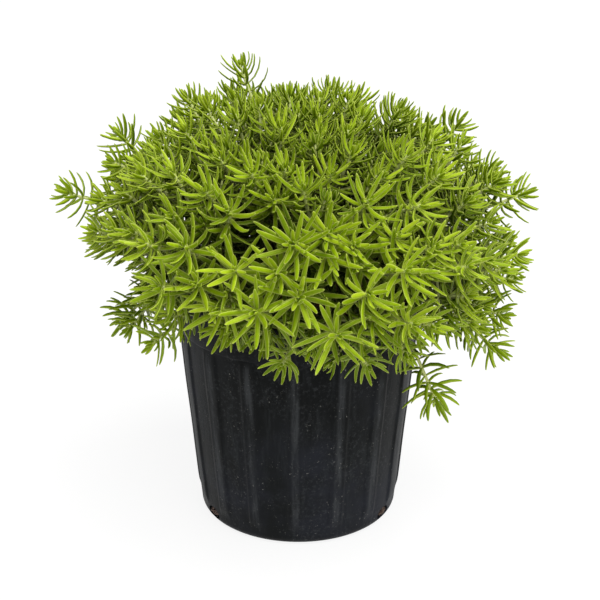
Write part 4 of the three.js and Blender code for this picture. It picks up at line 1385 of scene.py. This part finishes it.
root_points, root_faces = [], []
for hole, azimuth in enumerate(DRAIN_AZIMUTHS):
    for i in range(ROOTS_A_HOLE):
        number = hole * ROOTS_A_HOLE + i
        turn = draw(number, ROOT_TURN_STREAM) * 2 * math.pi
        far_turn = turn + math.pi + (draw(number, ROOT_FAR_STREAM) - 0.5) * ROOT_SCATTER
        ends = [place_in_hole(azimuth, angle, ROOT_END, ROOT_DEPTH) for angle in (turn, far_turn)]
        bow = between(ROOT_BOW, draw(number, ROOT_BOW_STREAM))
        pull_turns = (turn + ROOT_PULL_TURN, far_turn - ROOT_PULL_TURN)
        pulls = [place_in_hole(azimuth, angle, ROOT_PULL, bow) for angle in pull_turns]
        path = even_path(ends[0], *pulls, ends[1])
        skin, faces, _ = stem_skin(path, ROOT_THICKNESS, sides=6, stride=3)
        start = sum(len(points) for points in root_points)
        root_faces += [tuple(start + corner for corner in face) for face in faces]
        root_points.append(skin)
make_piece("root_threads", np.concatenate(root_points), root_faces, [root_finish])
print(len(root_points), "roots in", len(DRAIN_AZIMUTHS), "drain holes")

# %% [markdown]
# ## The setting
#
# The photograph is a product picture on white: even, soft light from above and in front, and no strong
# shadows. A pale floor that glows a little, a plain white world, a soft sun 60 degrees wide from the front
# right and a round softbox above give much the same. The floor is so wide that its edge lies outside the
# picture. The camera stands 1.1 m away, 22 degrees above the horizon, with a long lens, which was fitted to
# the pot's outline.

# %% Floor, world and lights
FLOOR_HALF = 20
FLOOR_GLOW = 0.86
WORLD_LIGHT = 0.4
WHITE = (1, 1, 1, 1)
floor_finish = Finish("pale_floor", Roughness=0.6, Emission_Color=WHITE, Emission_Strength=FLOOR_GLOW)
cloudy = noise_of(floor_finish, scale=6)
floor_finish.feed("Base Color", mix(floor_finish, cloudy, screen(106, 106, 106), screen(112, 112, 112)))
corners = [(a * FLOOR_HALF, b * FLOOR_HALF, 0) for a, b in ((-1, -1), (1, -1), (1, 1), (-1, 1))]
floor_mesh = bpy.data.meshes.new("floor")
floor_mesh.from_pydata(corners, [], [(0, 1, 2, 3)])
floor_mesh.materials.append(floor_finish.material)
floor = put_in_scene("floor", floor_mesh)

world = bpy.data.worlds.new("studio")
world.use_nodes = True
world.node_tree.nodes["Background"].inputs["Color"].default_value = WHITE
world.node_tree.nodes["Background"].inputs["Strength"].default_value = WORLD_LIGHT
bpy.context.scene.world = world
print("the floor is", 2 * FLOOR_HALF, "m wide")

# %% Lights
SOFTBOX_PLACE, SOFTBOX_SIZE, SOFTBOX_WATTS = Vector((0.3, -0.2, 1.5)), 0.9, 7
LIT_PLACE = Vector((0, 0, 0.17))
SUN_FROM, SUN_STRENGTH, SUN_ANGLE = Vector((0.3, -0.5, 1)), 2.3, 60 * DEG

softbox = bpy.data.lights.new("top_softbox", "AREA")
softbox.shape, softbox.size, softbox.energy = "DISK", SOFTBOX_SIZE, SOFTBOX_WATTS
softbox_object = put_in_scene("top_softbox", softbox)
softbox_object.location = SOFTBOX_PLACE
softbox_object.rotation_euler = (LIT_PLACE - SOFTBOX_PLACE).to_track_quat("-Z", "Y").to_euler()

sun = bpy.data.lights.new("key_light", "SUN")
sun.energy, sun.angle = SUN_STRENGTH, SUN_ANGLE
sun_object = put_in_scene("key_light", sun)
sun_object.rotation_euler = SUN_FROM.to_track_quat("Z", "Y").to_euler()
print("two lights:", softbox_object.name, "and", sun_object.name)

# %% Camera
CAMERA_DISTANCE = 1.1
CAMERA_ELEVATION = 22 * DEG
CAMERA_LENS = 99
CAMERA_SENSOR = 36
AIM = Vector((0.0012, 0, 0.1493))
TARGET = Vector((0, 0, 0.16))
camera = bpy.data.cameras.new("camera")
camera.lens, camera.sensor_width = CAMERA_LENS, CAMERA_SENSOR
camera_object = put_in_scene("camera", camera)
back = Vector((0, -math.cos(CAMERA_ELEVATION), math.sin(CAMERA_ELEVATION)))
camera_object.location = TARGET + back * CAMERA_DISTANCE
camera_object.rotation_euler = (AIM - camera_object.location).to_track_quat("-Z", "Y").to_euler()
bpy.context.scene.camera = camera_object
bpy.context.scene.view_settings.view_transform = "Standard"
print("the camera is at", [round(value, 3) for value in camera_object.location])
